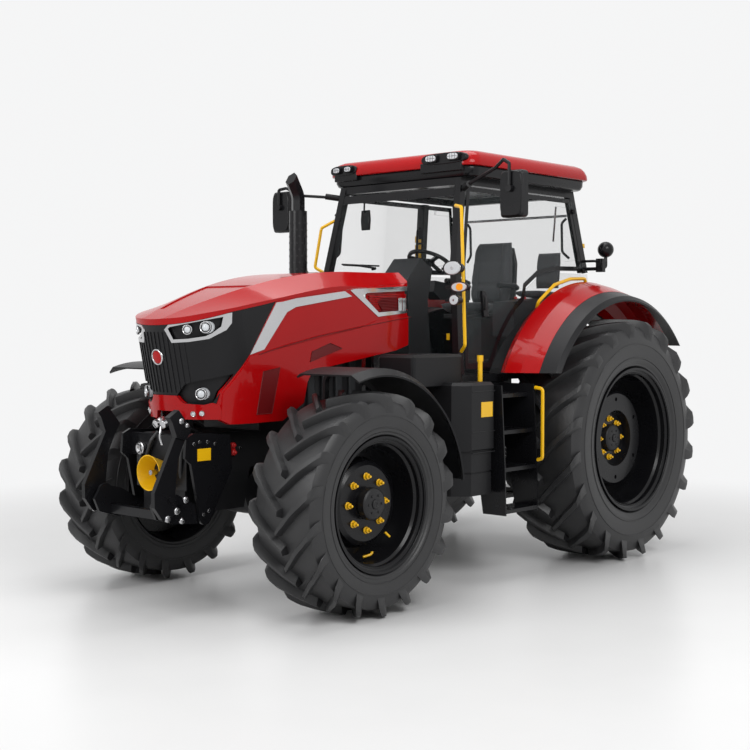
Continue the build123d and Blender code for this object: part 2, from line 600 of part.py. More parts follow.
CREASE_LINE = ((ahead(1700), 2090), (ahead(1811), 2079), (ahead(2230), 2034), (ahead(2396), 1983),
               (ahead(3560), 1783), (ahead(3680), 1630), (ahead(3757), 1530))
INTAKE_LINE = ((ahead(1700), 2286), (ahead(2333), 2245), (ahead(2385), 2226), (ahead(2203), 2096),
               (ahead(1700), 2140))
LOUVRE_PITCH = 18
with BuildPart() as side_panels:
    add(hood_skin)
    panel = [(x, z - SEAM) for x, z in SEAM_LINE if x < DIAGONAL[0][0]]
    slab_xz(panel + [(x - SEAM, z) for x, z in DIAGONAL] + [(ahead(3785), 1200), (ahead(1700), 1200)],
            -600, 600, mode=Mode.INTERSECT)
    with BuildPart(mode=Mode.PRIVATE) as lower:
        add(layer(-SIDE_PROUD, 0))
        slab_xz(CREASE_LINE + ((ahead(3757), 1200), (ahead(1700), 1200)), -600, 600, mode=Mode.INTERSECT)
        block(HOOD_REAR_X, ahead(4000), -600, 600, 1200, 2300, mode=Mode.INTERSECT)
    add(lower.part)
    slab_yz(both_sides(BUMPER_LINE), BUMPER_REAR_X, ahead(4200), mode=Mode.SUBTRACT)
    slab_xz(INTAKE_LINE, -600, 600, mode=Mode.SUBTRACT)

with BuildPart() as intake_louvres:
    for place in range(8):
        z = 2106 + place * LOUVRE_PITCH
        slab_xz(((ahead(1865), z), (ahead(2300), z), (ahead(2300), z + 11), (ahead(1865), z + 11)), 426, 444)
    slab_xz(((ahead(1865), 2140), (ahead(2203), 2110), (ahead(2360), 2222), (ahead(1865), 2260)), 426, 444,
            mode=Mode.INTERSECT)
    slab_xz(((ahead(1865), 2100), (ahead(2320), 2100), (ahead(2320), 2270), (ahead(1865), 2270)), 418, 427)
    mirror(about=Plane.XZ)
with BuildPart() as red_sides:
    add(side_panels.part)
    add(intake_louvres.part)
write(red_sides.part, "side_panels")

# Silver trim laid on the skin: the stripe, and the frames of intake and lamps
STRIPE_LINE = ((ahead(3557), 1793), (ahead(3422), 1828), (ahead(3196), 2092), (ahead(3106), 2130),
               (ahead(2508), 2216), (ahead(2588), 2254), (ahead(3106), 2192), (ahead(3240), 2166),
               (ahead(3300), 2160))
FRAME_LINE = ((ahead(1700), 2316), (ahead(2480), 2272), (ahead(2527), 2262), (ahead(2211), 2064),
              (ahead(1700), 2110))
FRAME_HOLE = ((ahead(1600), 2284), (ahead(2333), 2245), (ahead(2385), 2226), (ahead(2203), 2096),
              (ahead(1600), 2142))
with BuildPart() as hood_trim:
    add(layer(-TRIM_PROUD, 0))
    with BuildPart(mode=Mode.PRIVATE) as bands:
        slab_xz(STRIPE_LINE, -600, 600)
        slab_xz(FRAME_LINE, -600, 600)
        slab_xz(FRAME_HOLE, -600, 600, mode=Mode.SUBTRACT)
        block(HOOD_REAR_X + 4, ahead(3700), -600, 600, 1700, 2400, mode=Mode.INTERSECT)
    add(bands.part, mode=Mode.INTERSECT)
with BuildPart() as lamp_frames:
    add(layer(-TRIM_PROUD, GRILLE_T))
    with BuildPart(mode=Mode.PRIVATE) as rims:
        slab_aim(LAMP_LINE, 0, AIM_REACH)
        slab_aim(LENS_LINE, 0, AIM_REACH, mode=Mode.SUBTRACT)
        slab_xz(BLACK_LINE, SEAM, AIM_REACH, mode=Mode.INTERSECT)
    add(rims.part, mode=Mode.INTERSECT)
    mirror(about=Plane.XZ)
with BuildPart() as silver:
    add(hood_trim.part)
    add(lamp_frames.part)
write(silver.part, "hood_trim")

# Lamps in the nose, left side: centre (x, y, z), radius, aimed ahead and outward
NOSE_LAMPS = ((3966, 279, 1968, 40), (3880, 362, 1985, 44), (3868, 298, 1525, 42))
LAMP_LENGTH = 40
with BuildPart() as hood_lamps:
    for distance, y, z, radius in NOSE_LAMPS:
        turn = radians(30)
        aim = Vector(cos(turn), sin(turn), 0)
        front = Vector(ahead(distance), y, z) - aim * 14
        rod(tuple(front - aim * LAMP_LENGTH), tuple(front), radius)
    add(layer(FIN_PROUD, HOUSING_DEPTH), mode=Mode.INTERSECT)
    mirror(about=Plane.XZ)
write(hood_lamps.part, "hood_lamps")

with BuildPart() as hood_meshes:
    add(layer(VENT_DEPTH - VENT_T, VENT_DEPTH))
    slab_xy(VENT_LINE, 1900, HOOD_HIGH_Z, mode=Mode.INTERSECT)
write(hood_meshes.part, "hood_meshes")

# ---------------------------------------------------------------- cab
LEAN_LENGTH = hypot(1, CAB_LEAN)
SIDE_PLANE = Plane(origin=(0, cab_side(0), 0), x_dir=(1, 0, 0), z_dir=(0, -1, -CAB_LEAN))


def on_side(points, depth_from, depth_to, mode=Mode.ADD):
    """Outline (x, z) on the leaning left side, between two depths from its outer face."""
    with BuildSketch(SIDE_PLANE.offset(depth_from)) as outline:
        with BuildLine():
            Polyline(*[(x, z * LEAN_LENGTH) for x, z in points], close=True)
        make_face()
    extrude(outline.sketch, amount=depth_to - depth_from, mode=mode)


# Pillar lines as (x, z), from the sill to the roof
A_FRONT = ((ahead(1640), 1608), (ahead(1590), 2470), (ahead(1440), 3190))
A_REAR = ((ahead(1575), 1608), (ahead(1525), 2470), (ahead(1375), 3190))
C_FRONT = ((ahead(-250), 2470), (ahead(-110), 3190))
C_REAR = ((ahead(-330), 2470), (ahead(-185), 3190))
SILL_Z = 1600
DOOR_SILL_Z = 1650
HEADER = 60
ARCH_R = 1120          # cab skin over the rear tyre
ARCH_T = 14
FENDER_IN_Y = 800
RIDGE_R = 1350
DOOR_LOW_R = RIDGE_R + 22

# Line of the door's hinges: x, y and z at its low and high ends
HINGE_LINE = ((ahead(-235), cab_side(2500) + 15, 2500), (ahead(-130), cab_side(3100) + 15, 3100))
DOOR_PIN_R = 9
LEAF_DEPTH = (28, 8)       # outer and inner face of the hinge leaves, out from the glass
# Each hinge: outline of the leaf, of its pad on the glass, heights of the pin, heights of
# the barrel on the pillar
DOOR_HINGES = (
    (((ahead(-241), 2508), (ahead(40), 2490), (ahead(30), 2560), (ahead(-228), 2582)),
     ((ahead(-200), 2508), (ahead(36), 2494), (ahead(28), 2556), (ahead(-195), 2575)), (2470, 2576), (2462, 2500)),
    (((ahead(-148), 3036), (ahead(120), 3036), (ahead(110), 3096), (ahead(-138), 3096)),
     ((ahead(-90), 3040), (ahead(116), 3040), (ahead(106), 3092), (ahead(-84), 3092)), (2998, 3090), (2990, 3028)),
)


def hinge_at(z):
    """Point of the door's hinge line at height z."""
    low, high = (Vector(*end) for end in HINGE_LINE)
    return tuple(low + (high - low) * ((z - low.Z) / (high.Z - low.Z)))


with BuildPart() as cab_frame:
    on_side(A_REAR + A_FRONT[::-1], 0, PILLAR)
    on_side(C_REAR + C_FRONT[::-1], 0, PILLAR)
    on_side((C_REAR[1], A_FRONT[2], (A_FRONT[2][0] + 13, 3190 - HEADER), (C_REAR[1][0] - 13, 3190 - HEADER)),
            0, PILLAR)
    for _, _, _, (barrel_from, barrel_to) in DOOR_HINGES:
        rod(hinge_at(barrel_from), hinge_at(barrel_to), 2 * DOOR_PIN_R)
    for _, _, _, (barrel_from, barrel_to) in DOOR_HINGES:
        rod(hinge_at(barrel_from), hinge_at(barrel_to), DOOR_PIN_R + PIN_CLEARANCE, mode=Mode.SUBTRACT)
    mirror(about=Plane.XZ)
    for x_from, x_to in ((A_REAR[2][0], A_FRONT[2][0]), (C_REAR[1][0], C_FRONT[1][0])):
        block(x_from, x_to, -CAB_HALF_TOP + 20, CAB_HALF_TOP - 20, 3190 - HEADER, 3190)
write(cab_frame.part, "cab_frame")

CAB_TAIL = ahead(-390)
FLOOR_T = 60
with BuildPart() as cab_base:
    inner = ARCH_HALF
    wide = cab_side(SILL_Z) - 4
    front_x = A_FRONT[0][0]
    door_x = ahead(985)
    slab_xy(((CAB_TAIL, -inner), (door_x, -inner), (door_x, -wide), (front_x, -wide),
             (front_x, wide), (door_x, wide), (door_x, inner), (CAB_TAIL, inner)),
            SILL_Z - FLOOR_T, SILL_Z)
    block(CAB_TAIL, CAB_TAIL + 16, -inner, inner, SILL_Z, 2250)
    for x, top in ((ahead(150), HOUSING_TOP), (ahead(1350), GEARBOX_TOP)):
        block(x - 60, x + 60, -190, 190, top + SEAM, SILL_Z - FLOOR_T)
    for side in SIDES.values():
        y_from = min(side * inner, side * (inner + ARCH_T))
        with BuildSketch(Plane.XZ.offset(-y_from - ARCH_T)) as wall:
            with Locations((REAR_AXLE_X, REAR_AXLE_Z)):
                Circle(ARCH_R)
            with BuildLine():
                Polyline((CAB_TAIL, SILL_Z - FLOOR_T), (ahead(1200), SILL_Z - FLOOR_T),
                         (ahead(1200), 2400), (CAB_TAIL, 2400), close=True)
            make_face(mode=Mode.INTERSECT)
        extrude(wall.sketch, amount=ARCH_T)

def arc_shell(section_points, arc, axle_x, axle_z):
    """Revolve a section (radius, y) round an axle between two angles up from ahead."""
    start = radians(arc[0])
    radial = Plane(origin=(axle_x, 0, axle_z), x_dir=(cos(start), 0, sin(start)),
                   z_dir=(-sin(start), 0, cos(start)))
    with BuildSketch(radial) as section:
        with BuildLine():
            Polyline(*section_points, close=True)
        make_face()
    revolve(section.sketch, axis=Axis((axle_x, 0, axle_z), (0, -1, 0)), revolution_arc=arc[1] - arc[0])


# Section of the rear fender's outer face as (radius, y), inner edge first
RED_LINE = ((1150, 802), (1230, 812), (1310, 862), (RIDGE_R, 930), (1315, 1060), (1262, 1200))
FLARE_LINE = ((1260, 1200), (1222, 1325), (1190, 1350))
FENDER_FOOT_Z = 1615
FENDER_TAIL_Z = 1810


def thick(line, depth):
    """Close an outer line with the same line one skin further in."""
    return tuple(line) + tuple((r - depth, y) for r, y in reversed(line))


with BuildPart() as rear_fenders:
    arc_shell(thick(RED_LINE, FENDER_SKIN), (24, 152), REAR_AXLE_X, REAR_AXLE_Z)
    block(REAR_AXLE_X, ahead(2000), 700, 1500, 1000, FENDER_FOOT_Z, mode=Mode.SUBTRACT)
    block(ahead(-2000), REAR_AXLE_X, 700, 1500, 1000, FENDER_TAIL_Z, mode=Mode.SUBTRACT)
    mirror(about=Plane.XZ)
write(rear_fenders.part, "rear_fenders")

with BuildPart() as fender_flares:
    arc_shell(thick(FLARE_LINE, FENDER_SKIN), (24, 152), REAR_AXLE_X, REAR_AXLE_Z)
    block(REAR_AXLE_X, ahead(2000), 700, 1500, 1000, FENDER_FOOT_Z, mode=Mode.SUBTRACT)
    block(ahead(-2000), REAR_AXLE_X, 700, 1500, 1000, FENDER_TAIL_Z, mode=Mode.SUBTRACT)
    mirror(about=Plane.XZ)
write(fender_flares.part, "fender_flares")

with BuildPart() as arch_liners:
    line = ((ARCH_R + ARCH_T, ARCH_HALF), (ARCH_R + ARCH_T, 795), (1148, 798), (1148, 802),
            (ARCH_R, 802), (ARCH_R, ARCH_HALF))
    arc_shell(line, (24, 152), REAR_AXLE_X, REAR_AXLE_Z)
    block(REAR_AXLE_X, ahead(2000), 500, 1500, 1000, SILL_Z, mode=Mode.SUBTRACT)
    block(ahead(-2000), REAR_AXLE_X, 500, 1500, 1000, FENDER_TAIL_Z, mode=Mode.SUBTRACT)
    mirror(about=Plane.XZ)
write(cab_base.part, "cab_base")
write(arch_liners.part, "arch_liners")

# Glass.  The door's lower edge rides over the fender's ridge, then lifts over the rail.
DOOR_SEAM = 10


def over_ridge(radius, reaches):
    """Points of a circle about the rear axle at the given distances ahead of it."""
    return [(ahead(x), REAR_AXLE_Z + (radius ** 2 - x ** 2) ** 0.5) for x in reaches]


def sill_reach(radius):
    """Distance ahead of the rear axle at which that circle meets the door's sill."""
    return (radius ** 2 - (DOOR_SILL_Z - REAR_AXLE_Z) ** 2) ** 0.5


ridge_points = over_ridge(DOOR_LOW_R, (sill_reach(DOOR_LOW_R), 1120, 1000, 850))
DOOR_LIFT = ((ahead(650), 2320), (ahead(450), 2430), (ahead(200), 2470))
DOOR_FRONT = tuple((x - DOOR_SEAM, z) for x, z in ((ahead(1572), DOOR_SILL_Z), A_REAR[1], (ahead(1388), 3120)))
DOOR_REAR = ((ahead(-113), 3120), (ahead(-238), 2480))
DOOR_LOW = tuple(reversed(DOOR_LIFT)) + tuple(reversed(ridge_points))
with BuildPart() as door_glass:
    on_side(DOOR_FRONT + DOOR_REAR + DOOR_LOW, 0, GLASS_T)
    for _, _, _, (barrel_from, barrel_to) in DOOR_HINGES:
        rod(hinge_at(barrel_from - GAP), hinge_at(barrel_to + GAP), 2 * DOOR_PIN_R + GAP, mode=Mode.SUBTRACT)
    for leaf, pad, (pin_from, pin_to), _ in DOOR_HINGES:
        on_side(leaf, -LEAF_DEPTH[0], -LEAF_DEPTH[1])
        on_side(pad, -LEAF_DEPTH[1] - 1, 0)
        rod(hinge_at(pin_from), hinge_at(pin_to), DOOR_PIN_R)
write(door_glass.part, "door_left")
write(mirror(door_glass.part, about=Plane.XZ), "door_right")

with BuildPart() as fixed_glass:
    a_front_in = [(x - 12, z) for x, z in A_FRONT]
    slab_xz(((a_front_in[0][0], 1640), a_front_in[1], (a_front_in[2][0] + 10, 3122),
             (a_front_in[2][0] + 10 - GLASS_T, 3122), (a_front_in[1][0] - GLASS_T, 2470),
             (a_front_in[0][0] - GLASS_T, 1640)), -900, 900)
    slab_xz(((C_REAR[0][0] + 12 - 40, 2260), (C_REAR[1][0] + 2, 3122), (C_REAR[1][0] + 2 + GLASS_T, 3122),
             (C_REAR[0][0] + 12 - 40 + GLASS_T, 2260)), -900, 900)
    inner_low = cab_side(1600) - PILLAR - 6
    inner_high = cab_side(3190) - PILLAR - 6
    slab_yz(((-inner_low, 1600), (inner_low, 1600), (inner_high, 3190), (-inner_high, 3190)),
            ahead(-600), ahead(2000), mode=Mode.INTERSECT)
with BuildPart() as quarter_glass:
    outer = DOOR_LOW_R - 12
    under = ARCH_R + ARCH_T + 22
    upper_edge = over_ridge(outer, (sill_reach(outer), 1110, 990, 840))
    lower_edge = over_ridge(under, (300, 520, 720, sill_reach(under)))
    lift_edge = [(x, z - 14) for x, z in DOOR_LIFT]
    on_side(upper_edge + lift_edge + [(ahead(-230), 2456), (ahead(-330), 2456), (ahead(-330), 2200)]
            + lower_edge, 0, GLASS_T)
    mirror(about=Plane.XZ)
with BuildPart() as cab_glass:
    add(fixed_glass.part)
    add(quarter_glass.part)
write(cab_glass.part, "fixed_glass")

ROOF_BASE_Z = 3194
ROOF_SPLIT_Z = 3303
ROOF_TOP_Z = 3425
ROOF_X = (ahead(-290), ahead(1480))
ROOF_HALF = 790
ROOF_CORNER_R = 120
# Outlines of the red shell: from the side, and the left half from the front
ROOF_SIDE = ((ROOF_X[0], ROOF_SPLIT_Z), (ROOF_X[0], 3378), (ahead(-225), 3408), (ahead(-60), ROOF_TOP_Z),
             (ahead(1180), ROOF_TOP_Z), (ahead(1400), 3410), (ROOF_X[1], 3385), (ROOF_X[1], ROOF_SPLIT_Z))
ROOF_FRONT = ((0, ROOF_TOP_Z), (600, ROOF_TOP_Z), (735, 3410), (ROOF_HALF, 3378), (ROOF_HALF, ROOF_SPLIT_Z),
              (0, ROOF_SPLIT_Z))
# Lamp pods in the front corners of the roof, in front view, and the slope of their tops
PODS = {
    "left": ((226, ROOF_SPLIT_Z), (318, 3396), (735, 3400), (800, 3392), (800, ROOF_SPLIT_Z)),
    "right": ((-800, ROOF_SPLIT_Z), (-800, 3350), (-590, 3378), (-460, ROOF_SPLIT_Z)),
}
POD_SIDE = ((ahead(1300), ROOF_SPLIT_Z), (ahead(1440), 3400), (ROOF_X[1], 3400), (ROOF_X[1], ROOF_SPLIT_Z))


def roof_pods(margin):
    """Both lamp pods, grown all round by a margin."""
    with BuildPart() as pods:
        for outline in PODS.values():
            with BuildPart(mode=Mode.PRIVATE) as pod:
                slab_yz(outline, ahead(1200), ROOF_X[1] + margin)
                slab_xz(POD_SIDE, -ROOF_HALF - margin, ROOF_HALF + margin, mode=Mode.INTERSECT)
            add(pod.part)
        if margin:
            add(pods.part.translate((-2 * margin, 0, margin)))
    return pods.part


with BuildPart() as roof_fascia:
    with BuildPart(mode=Mode.PRIVATE) as band:
        block(ahead(-235), ahead(1468), -735, 735, ROOF_BASE_Z, ROOF_SPLIT_Z)
        fillet(band.edges().filter_by(Axis.Z), radius=70)
    add(band.part)
    with BuildPart(mode=Mode.PRIVATE) as pod_form:
        block(*ROOF_X, -ROOF_HALF, ROOF_HALF, ROOF_BASE_Z, ROOF_TOP_Z)
        fillet(pod_form.edges().filter_by(Axis.Z), radius=ROOF_CORNER_R)
        add(roof_pods(0), mode=Mode.INTERSECT)
    add(pod_form.part)
write(roof_fascia.part, "roof_fascia")

with BuildPart() as roof_shell:
    block(*ROOF_X, -ROOF_HALF, ROOF_HALF, ROOF_SPLIT_Z + SEAM, ROOF_TOP_Z)
    fillet(roof_shell.edges().filter_by(Axis.Z), radius=ROOF_CORNER_R)
    slab_xz(ROOF_SIDE, -ROOF_HALF, ROOF_HALF, mode=Mode.INTERSECT)
    slab_yz(both_sides(ROOF_FRONT), *ROOF_X, mode=Mode.INTERSECT)
    add(roof_pods(SEAM), mode=Mode.SUBTRACT)
write(roof_shell.part, "roof_shell")

# Lamps as centre (x, y, z), half width and half height, facing ahead or astern; then how far
# they stand from the face that holds them
LAMP_DEEP = 34
CORNER_LAMPS = (
    (ROOF_X[1], 402, 3348, 62, 30, 1), (ROOF_X[1], 628, 3352, 62, 30, 1),
    (ROOF_X[1], -520, 3335, 40, 26, 1), (ROOF_X[1], -650, 3332, 40, 26, 1),
    (ahead(-235), 640, 3250, 55, 30, -1), (ahead(-235), -640, 3250, 55, 30, -1),
    (CAB_TAIL, 510, 1950, 70, 45, -1), (CAB_TAIL, -510, 1950, 70, 45, -1),
)
# Oval lamps on the front pillars: centre (x, y, z), half width, half height
PILLAR_LAMPS = ((ahead(1790), 850, 2442, 98, 60), (ahead(1760), 893, 2295, 92, 42), (ahead(1770), 850, 2194, 52, 46))
PILLAR_LAMP_DEEP = 70
with BuildPart() as cab_lamps:
    for x, y, z, half_y, half_z, way in CORNER_LAMPS:
        with BuildSketch(Plane(origin=(x, y, z), x_dir=(0, 1, 0), z_dir=(way, 0, 0))) as face:
            RectangleRounded(2 * half_y, 2 * half_z, radius=half_z * 0.6)
        extrude(face.sketch, amount=LAMP_DEEP)
    for side in SIDES.values():
        for x, y, z, half_y, half_z in PILLAR_LAMPS:
            sections = []
            for face_x, share in ((x - PILLAR_LAMP_DEEP, 0.7), (x, 1.0)):
                with BuildSketch(Plane.YZ.offset(face_x)) as section:
                    with BuildLine():
                        Polyline(*[(side * y + share * half_y * cos(radians(turn)), z + share * half_z * sin(radians(turn)))
                                   for turn in range(0, 360, 20)], close=True)
                    make_face()
                sections.append(section.sketch)
            loft(sections, ruled=True)
            arm_x, arm_y = x - PILLAR_LAMP_DEEP + 4, side * (cab_side(z) - PILLAR / 2)
            block(arm_x - 20, arm_x, min(arm_y - 10, side * y), max(arm_y + 10, side * y), z - 10, z + 10)
            block(ahead(1582), arm_x, arm_y - 10, arm_y + 10, z - 10, z + 10)
    add(cab_frame.part, mode=Mode.SUBTRACT)
write(cab_lamps.part, "cab_lamps")

# ---------------------------------------------------------------- inside the cab
with BuildPart() as operator_seat:
    block(ahead(120), ahead(600), -250, 250, 2060, 2200)
    slab_xz(((ahead(60), 2150), (ahead(190), 2150), (ahead(120), 2740), (ahead(20), 2740)), -230, 230)
    fillet(operator_seat.edges().filter_by(Axis.Y), radius=30)
write(operator_seat.part, "operator_seat")

with BuildPart() as seat_pedestal:
    block(ahead(180), ahead(540), -190, 190, SILL_Z, 1690)
    block(ahead(240), ahead(480), -140, 140, 1690, 2058)
with BuildPart() as passenger_seat:
    block(ahead(-120), ahead(220), 300, 585, 2235, 2325)
    slab_xz(((ahead(-160), 2300), (ahead(-90), 2300), (ahead(-130), 2640), (ahead(-190), 2640)), 310, 570)
write(passenger_seat.part, "passenger_seat")

with BuildPart() as consoles:
    slab_xz(((ahead(-100), 2152), (ahead(240), 2120), (ahead(420), 2060), (ahead(620), 1900),
             (ahead(620), 2200), (ahead(230), 2230), (ahead(-100), 2230)), 370, 590)
    slab_xz(((ahead(80), 2230), (ahead(520), 2230), (ahead(620), 2300), (ahead(600), 2400),
             (ahead(80), 2340)), -420, -290)
    block(ahead(150), ahead(260), -285, -255, 2080, 2330)
    block(ahead(150), ahead(260), -292, -250, 2200, 2300)

WHEEL_CENTRE = (ahead(1030), 0, 2540)
COLUMN_TILT = 28
column_up = (-sin(radians(COLUMN_TILT)), 0, cos(radians(COLUMN_TILT)))
column_top = tuple(c - u * 60 for c, u in zip(WHEEL_CENTRE, column_up))
with BuildPart() as dash_column:
    slab_xz(((ahead(1180), SILL_Z), (ahead(1480), SILL_Z), (ahead(1500), 2380), (ahead(1330), 2560),
             (ahead(1180), 2470), (ahead(1240), 2200)), -150, 150)
    rod((ahead(1230), 0, 2180), column_top, 45)
with BuildPart() as cab_inside:
    add(seat_pedestal.part)
    add(consoles.part)
    add(dash_column.part)
write(cab_inside.part, "consoles")

STEERING_WHEEL_R = 200
with BuildPart() as steering_wheel:
    wheel_plane = Plane(origin=WHEEL_CENTRE, x_dir=(0, 1, 0), z_dir=column_up)
    with BuildSketch(wheel_plane.offset(-12)) as rim_ring:
        Circle(STEERING_WHEEL_R)
        Circle(STEERING_WHEEL_R - 28, mode=Mode.SUBTRACT)
        with PolarLocations(0, 3, start_angle=90):
            with Locations((STEERING_WHEEL_R / 2 - 8, 0)):
                Rectangle(STEERING_WHEEL_R - 20, 30)
        Circle(42)
    extrude(rim_ring.sketch, amount=24)
    rod(tuple(c + u * 1 for c, u in zip(column_top, column_up)), WHEEL_CENTRE, 24)
write(steering_wheel.part, "steering_wheel")

# ---------------------------------------------------------------- exhaust and mirrors
EXHAUST = (ahead(1930), -700)
SHIELD_R = 76
PIPE_R = 58
with BuildPart() as exhaust:
    x, y = EXHAUST
    rod((x, y, 1560), (x, y, 2960), SHIELD_R)
    bent_tube(((x, y, 2940), (x, y, 3090), (x + 130, y, 3310)), PIPE_R, 150)
    slab_xz(((x + 40, 3290), (x + 120, 3170), (x + 400, 3170), (x + 400, 3500), (x + 40, 3500)), y - 90, y + 90,
            mode=Mode.SUBTRACT)
    rod((x, y, 1640), (ahead(2350), y, 1640), 50)
    rod((ahead(2300), y, 1640), (ahead(2300), -ENGINE[2] - SEAM, 1640), 49)
write(exhaust.part, "exhaust")

MIRROR_Y = 1260
MIRROR_X = ahead(1550)
MIRROR_HALF = (38, 108)
MIRROR_Z = (2826, 3186)
# Arm of each mirror, from the pillar to the knob ahead of the housing; y is outward
MIRROR_ARMS = {
    "left": ((ahead(1425), 692, 3095), (ahead(1500), 800, 3126), (ahead(1510), 1052, 3224),
             (ahead(1590), 1190, 3272), (ahead(1612), MIRROR_Y, 3235), (ahead(1612), MIRROR_Y, 3030)),
    "right": ((ahead(1425), 692, 3095), (ahead(1500), 800, 3115), (ahead(1520), 1040, 3140),
              (ahead(1590), 1190, 3212), (ahead(1612), MIRROR_Y, 3200), (ahead(1612), MIRROR_Y, 3030)),
}
with BuildPart() as mirrors:
    for name, side in SIDES.items():
        half_x, half_y = MIRROR_HALF
        with BuildPart(mode=Mode.PRIVATE) as mirror_head:
            block(MIRROR_X - half_x, MIRROR_X + half_x, side * MIRROR_Y - half_y, side * MIRROR_Y + half_y,
                  *MIRROR_Z)
            fillet(mirror_head.edges().filter_by(Axis.X), radius=30)
            chamfer(mirror_head.faces().sort_by(Axis.X)[-1].edges(), length=16)
        add(mirror_head.part)
        bent_tube([(x, side * y, z) for x, y, z in MIRROR_ARMS[name]], 14, 18)
        rod((MIRROR_X + half_x, side * MIRROR_Y, 3045), (ahead(1626), side * MIRROR_Y, 3045), 26)
        rod((ahead(1425), side * 680, 3100), (ahead(1500), side * 790, 3120), 26)
    add(cab_frame.part, mode=Mode.SUBTRACT)
write(mirrors.part, "mirrors")

# ---------------------------------------------------------------- tanks, steps, rails
TANK_Y = (560, 1120)
TANK_X = (ahead(1590), ahead(2000))
TANK_Z = (690, 1560)
TANK_STEP_Z = 1035
TANK_CORNER = 110
TANK_TUCK = 14


def tank_plan(tuck):
    """Plan of the tank with its front corner cut off, shrunk by tuck on the open sides."""
    front, outer = TANK_X[1] - tuck, TANK_Y[1] - tuck
    return ((TANK_X[0] + tuck, TANK_Y[0]), (front, TANK_Y[0]), (front, outer - TANK_CORNER),
            (front - TANK_CORNER, outer), (TANK_X[0] + tuck + 20, outer), (TANK_X[0] + tuck, outer - 20))


with BuildPart() as fuel_tank:
    slab_xy(tank_plan(0), TANK_STEP_Z, TANK_Z[1])
    chamfer(fuel_tank.faces().sort_by(Axis.Z)[-1].edges(), length=24)
    chamfer(fuel_tank.faces().sort_by(Axis.Z)[0].edges().sort_by(Axis.Y)[-2:], length=10)
    slab_xy(tank_plan(TANK_TUCK), 872, TANK_STEP_Z)
    slab_xy(tank_plan(TANK_TUCK + 8), 860, 872)
    slab_xy(tank_plan(TANK_TUCK), TANK_Z[0], 860)
    block(TANK_X[0] + 60, TANK_X[1] - 60, GEARBOX_HALF, TANK_Y[0], 800, 1000)
    with BuildPart(mode=Mode.PRIVATE) as upper_box:
        block(ahead(1738), ahead(2340), 560, 920, TANK_Z[1] - 24, 1775)
        chamfer(upper_box.faces().sort_by(Axis.Z)[-1].edges(), length=22)
        fillet(upper_box.edges().filter_by(Axis.Z), radius=30)
    add(upper_box.part)
    block(TANK_X[0] - 5, ahead(1660), 500, 815, SILL_Z - FLOOR_T - SEAM, 1800, mode=Mode.SUBTRACT)
write(fuel_tank.part, "fuel_tank")

with BuildPart() as right_locker:
    block(TANK_X[0] - 300, TANK_X[1], -1080, -560, 720, 1500)
    fillet(right_locker.edges().filter_by(Axis.Z), radius=45)
    block(TANK_X[0] + 60, TANK_X[1] - 60, -560, -GEARBOX_HALF, 800, 1000)
    block(ahead(1840), ahead(2000), -790, -620, 1500, 1558)
write(right_locker.part, "right_locker")

STEP_X = (ahead(1130), ahead(1560))
STEP_PLATE = 12
STEP_BACK_Y = 820
# Treads: height, y from, y to
STEP_TREADS = ((545, 990, 1205), (872, 930, 1190), (1160, STEP_BACK_Y, 1150), (1443, STEP_BACK_Y, 1100))
with BuildPart() as steps:
    for x in STEP_X:
        slab_yz(((985, 515), (1205, 515), (1195, 890), (1160, 1530), (STEP_BACK_Y, 1530), (STEP_BACK_Y, 880),
                 (930, 860)), x - STEP_PLATE / 2, x + STEP_PLATE / 2)
    for z, y_from, y_to in STEP_TREADS:
        block(STEP_X[0], STEP_X[1], y_from, y_to, z - 15, z + 15)
    block(STEP_X[0], STEP_X[1], STEP_BACK_Y, STEP_BACK_Y + STEP_PLATE, 880, 1530)
    block(STEP_X[0] + 60, STEP_X[0] + 130, GEARBOX_HALF, STEP_BACK_Y, 1090, 1160)
    block(STEP_X[1] - 130, STEP_X[1] - 60, GEARBOX_HALF, STEP_BACK_Y, 1090, 1160)
write(steps.part, "steps")

RAIL_R = 15
POST = (ahead(1628), 1000)
# Rails as (x, y outward, z), with the sides that carry each
RAILS = (
    (("left",), ((ahead(1560), 700, 2950), (ahead(1600), 790, 2930), (ahead(1640), 860, 1840),
                 (ahead(1610), 800, 1790))),
    (("right",), ((ahead(1480), 700, 2905), (ahead(1570), 775, 2840), (ahead(1580), 845, 2500),
                  (ahead(1540), 765, 2450))),
    (("left", "right"), ((ahead(640), 842, 2126), (ahead(668), 880, 2192), (ahead(465), 905, 2340),
                         (ahead(221), 905, 2396), (ahead(0), 905, 2404), (ahead(-30), 905, 2356))),
    (("left",), ((ahead(1120), 1166, 1500), (ahead(1120), 1240, 1490), (ahead(1120), 1240, 935),
                 (ahead(1120), 1192, 920))),
)
with BuildPart() as grab_rails:
    for names, points in RAILS:
        for name in names:
            bent_tube([(x, SIDES[name] * y, z) for x, y, z in points], RAIL_R, 26)
    rod((POST[0], POST[1], TANK_Z[1]), (POST[0], POST[1], 1740), 19)
    rod((POST[0], POST[1], 1715), (POST[0], POST[1], 1764), 25)
    for holder in (rear_fenders, steps, cab_frame):
        add(holder.part, mode=Mode.SUBTRACT)
write(grab_rails.part, "grab_rails")

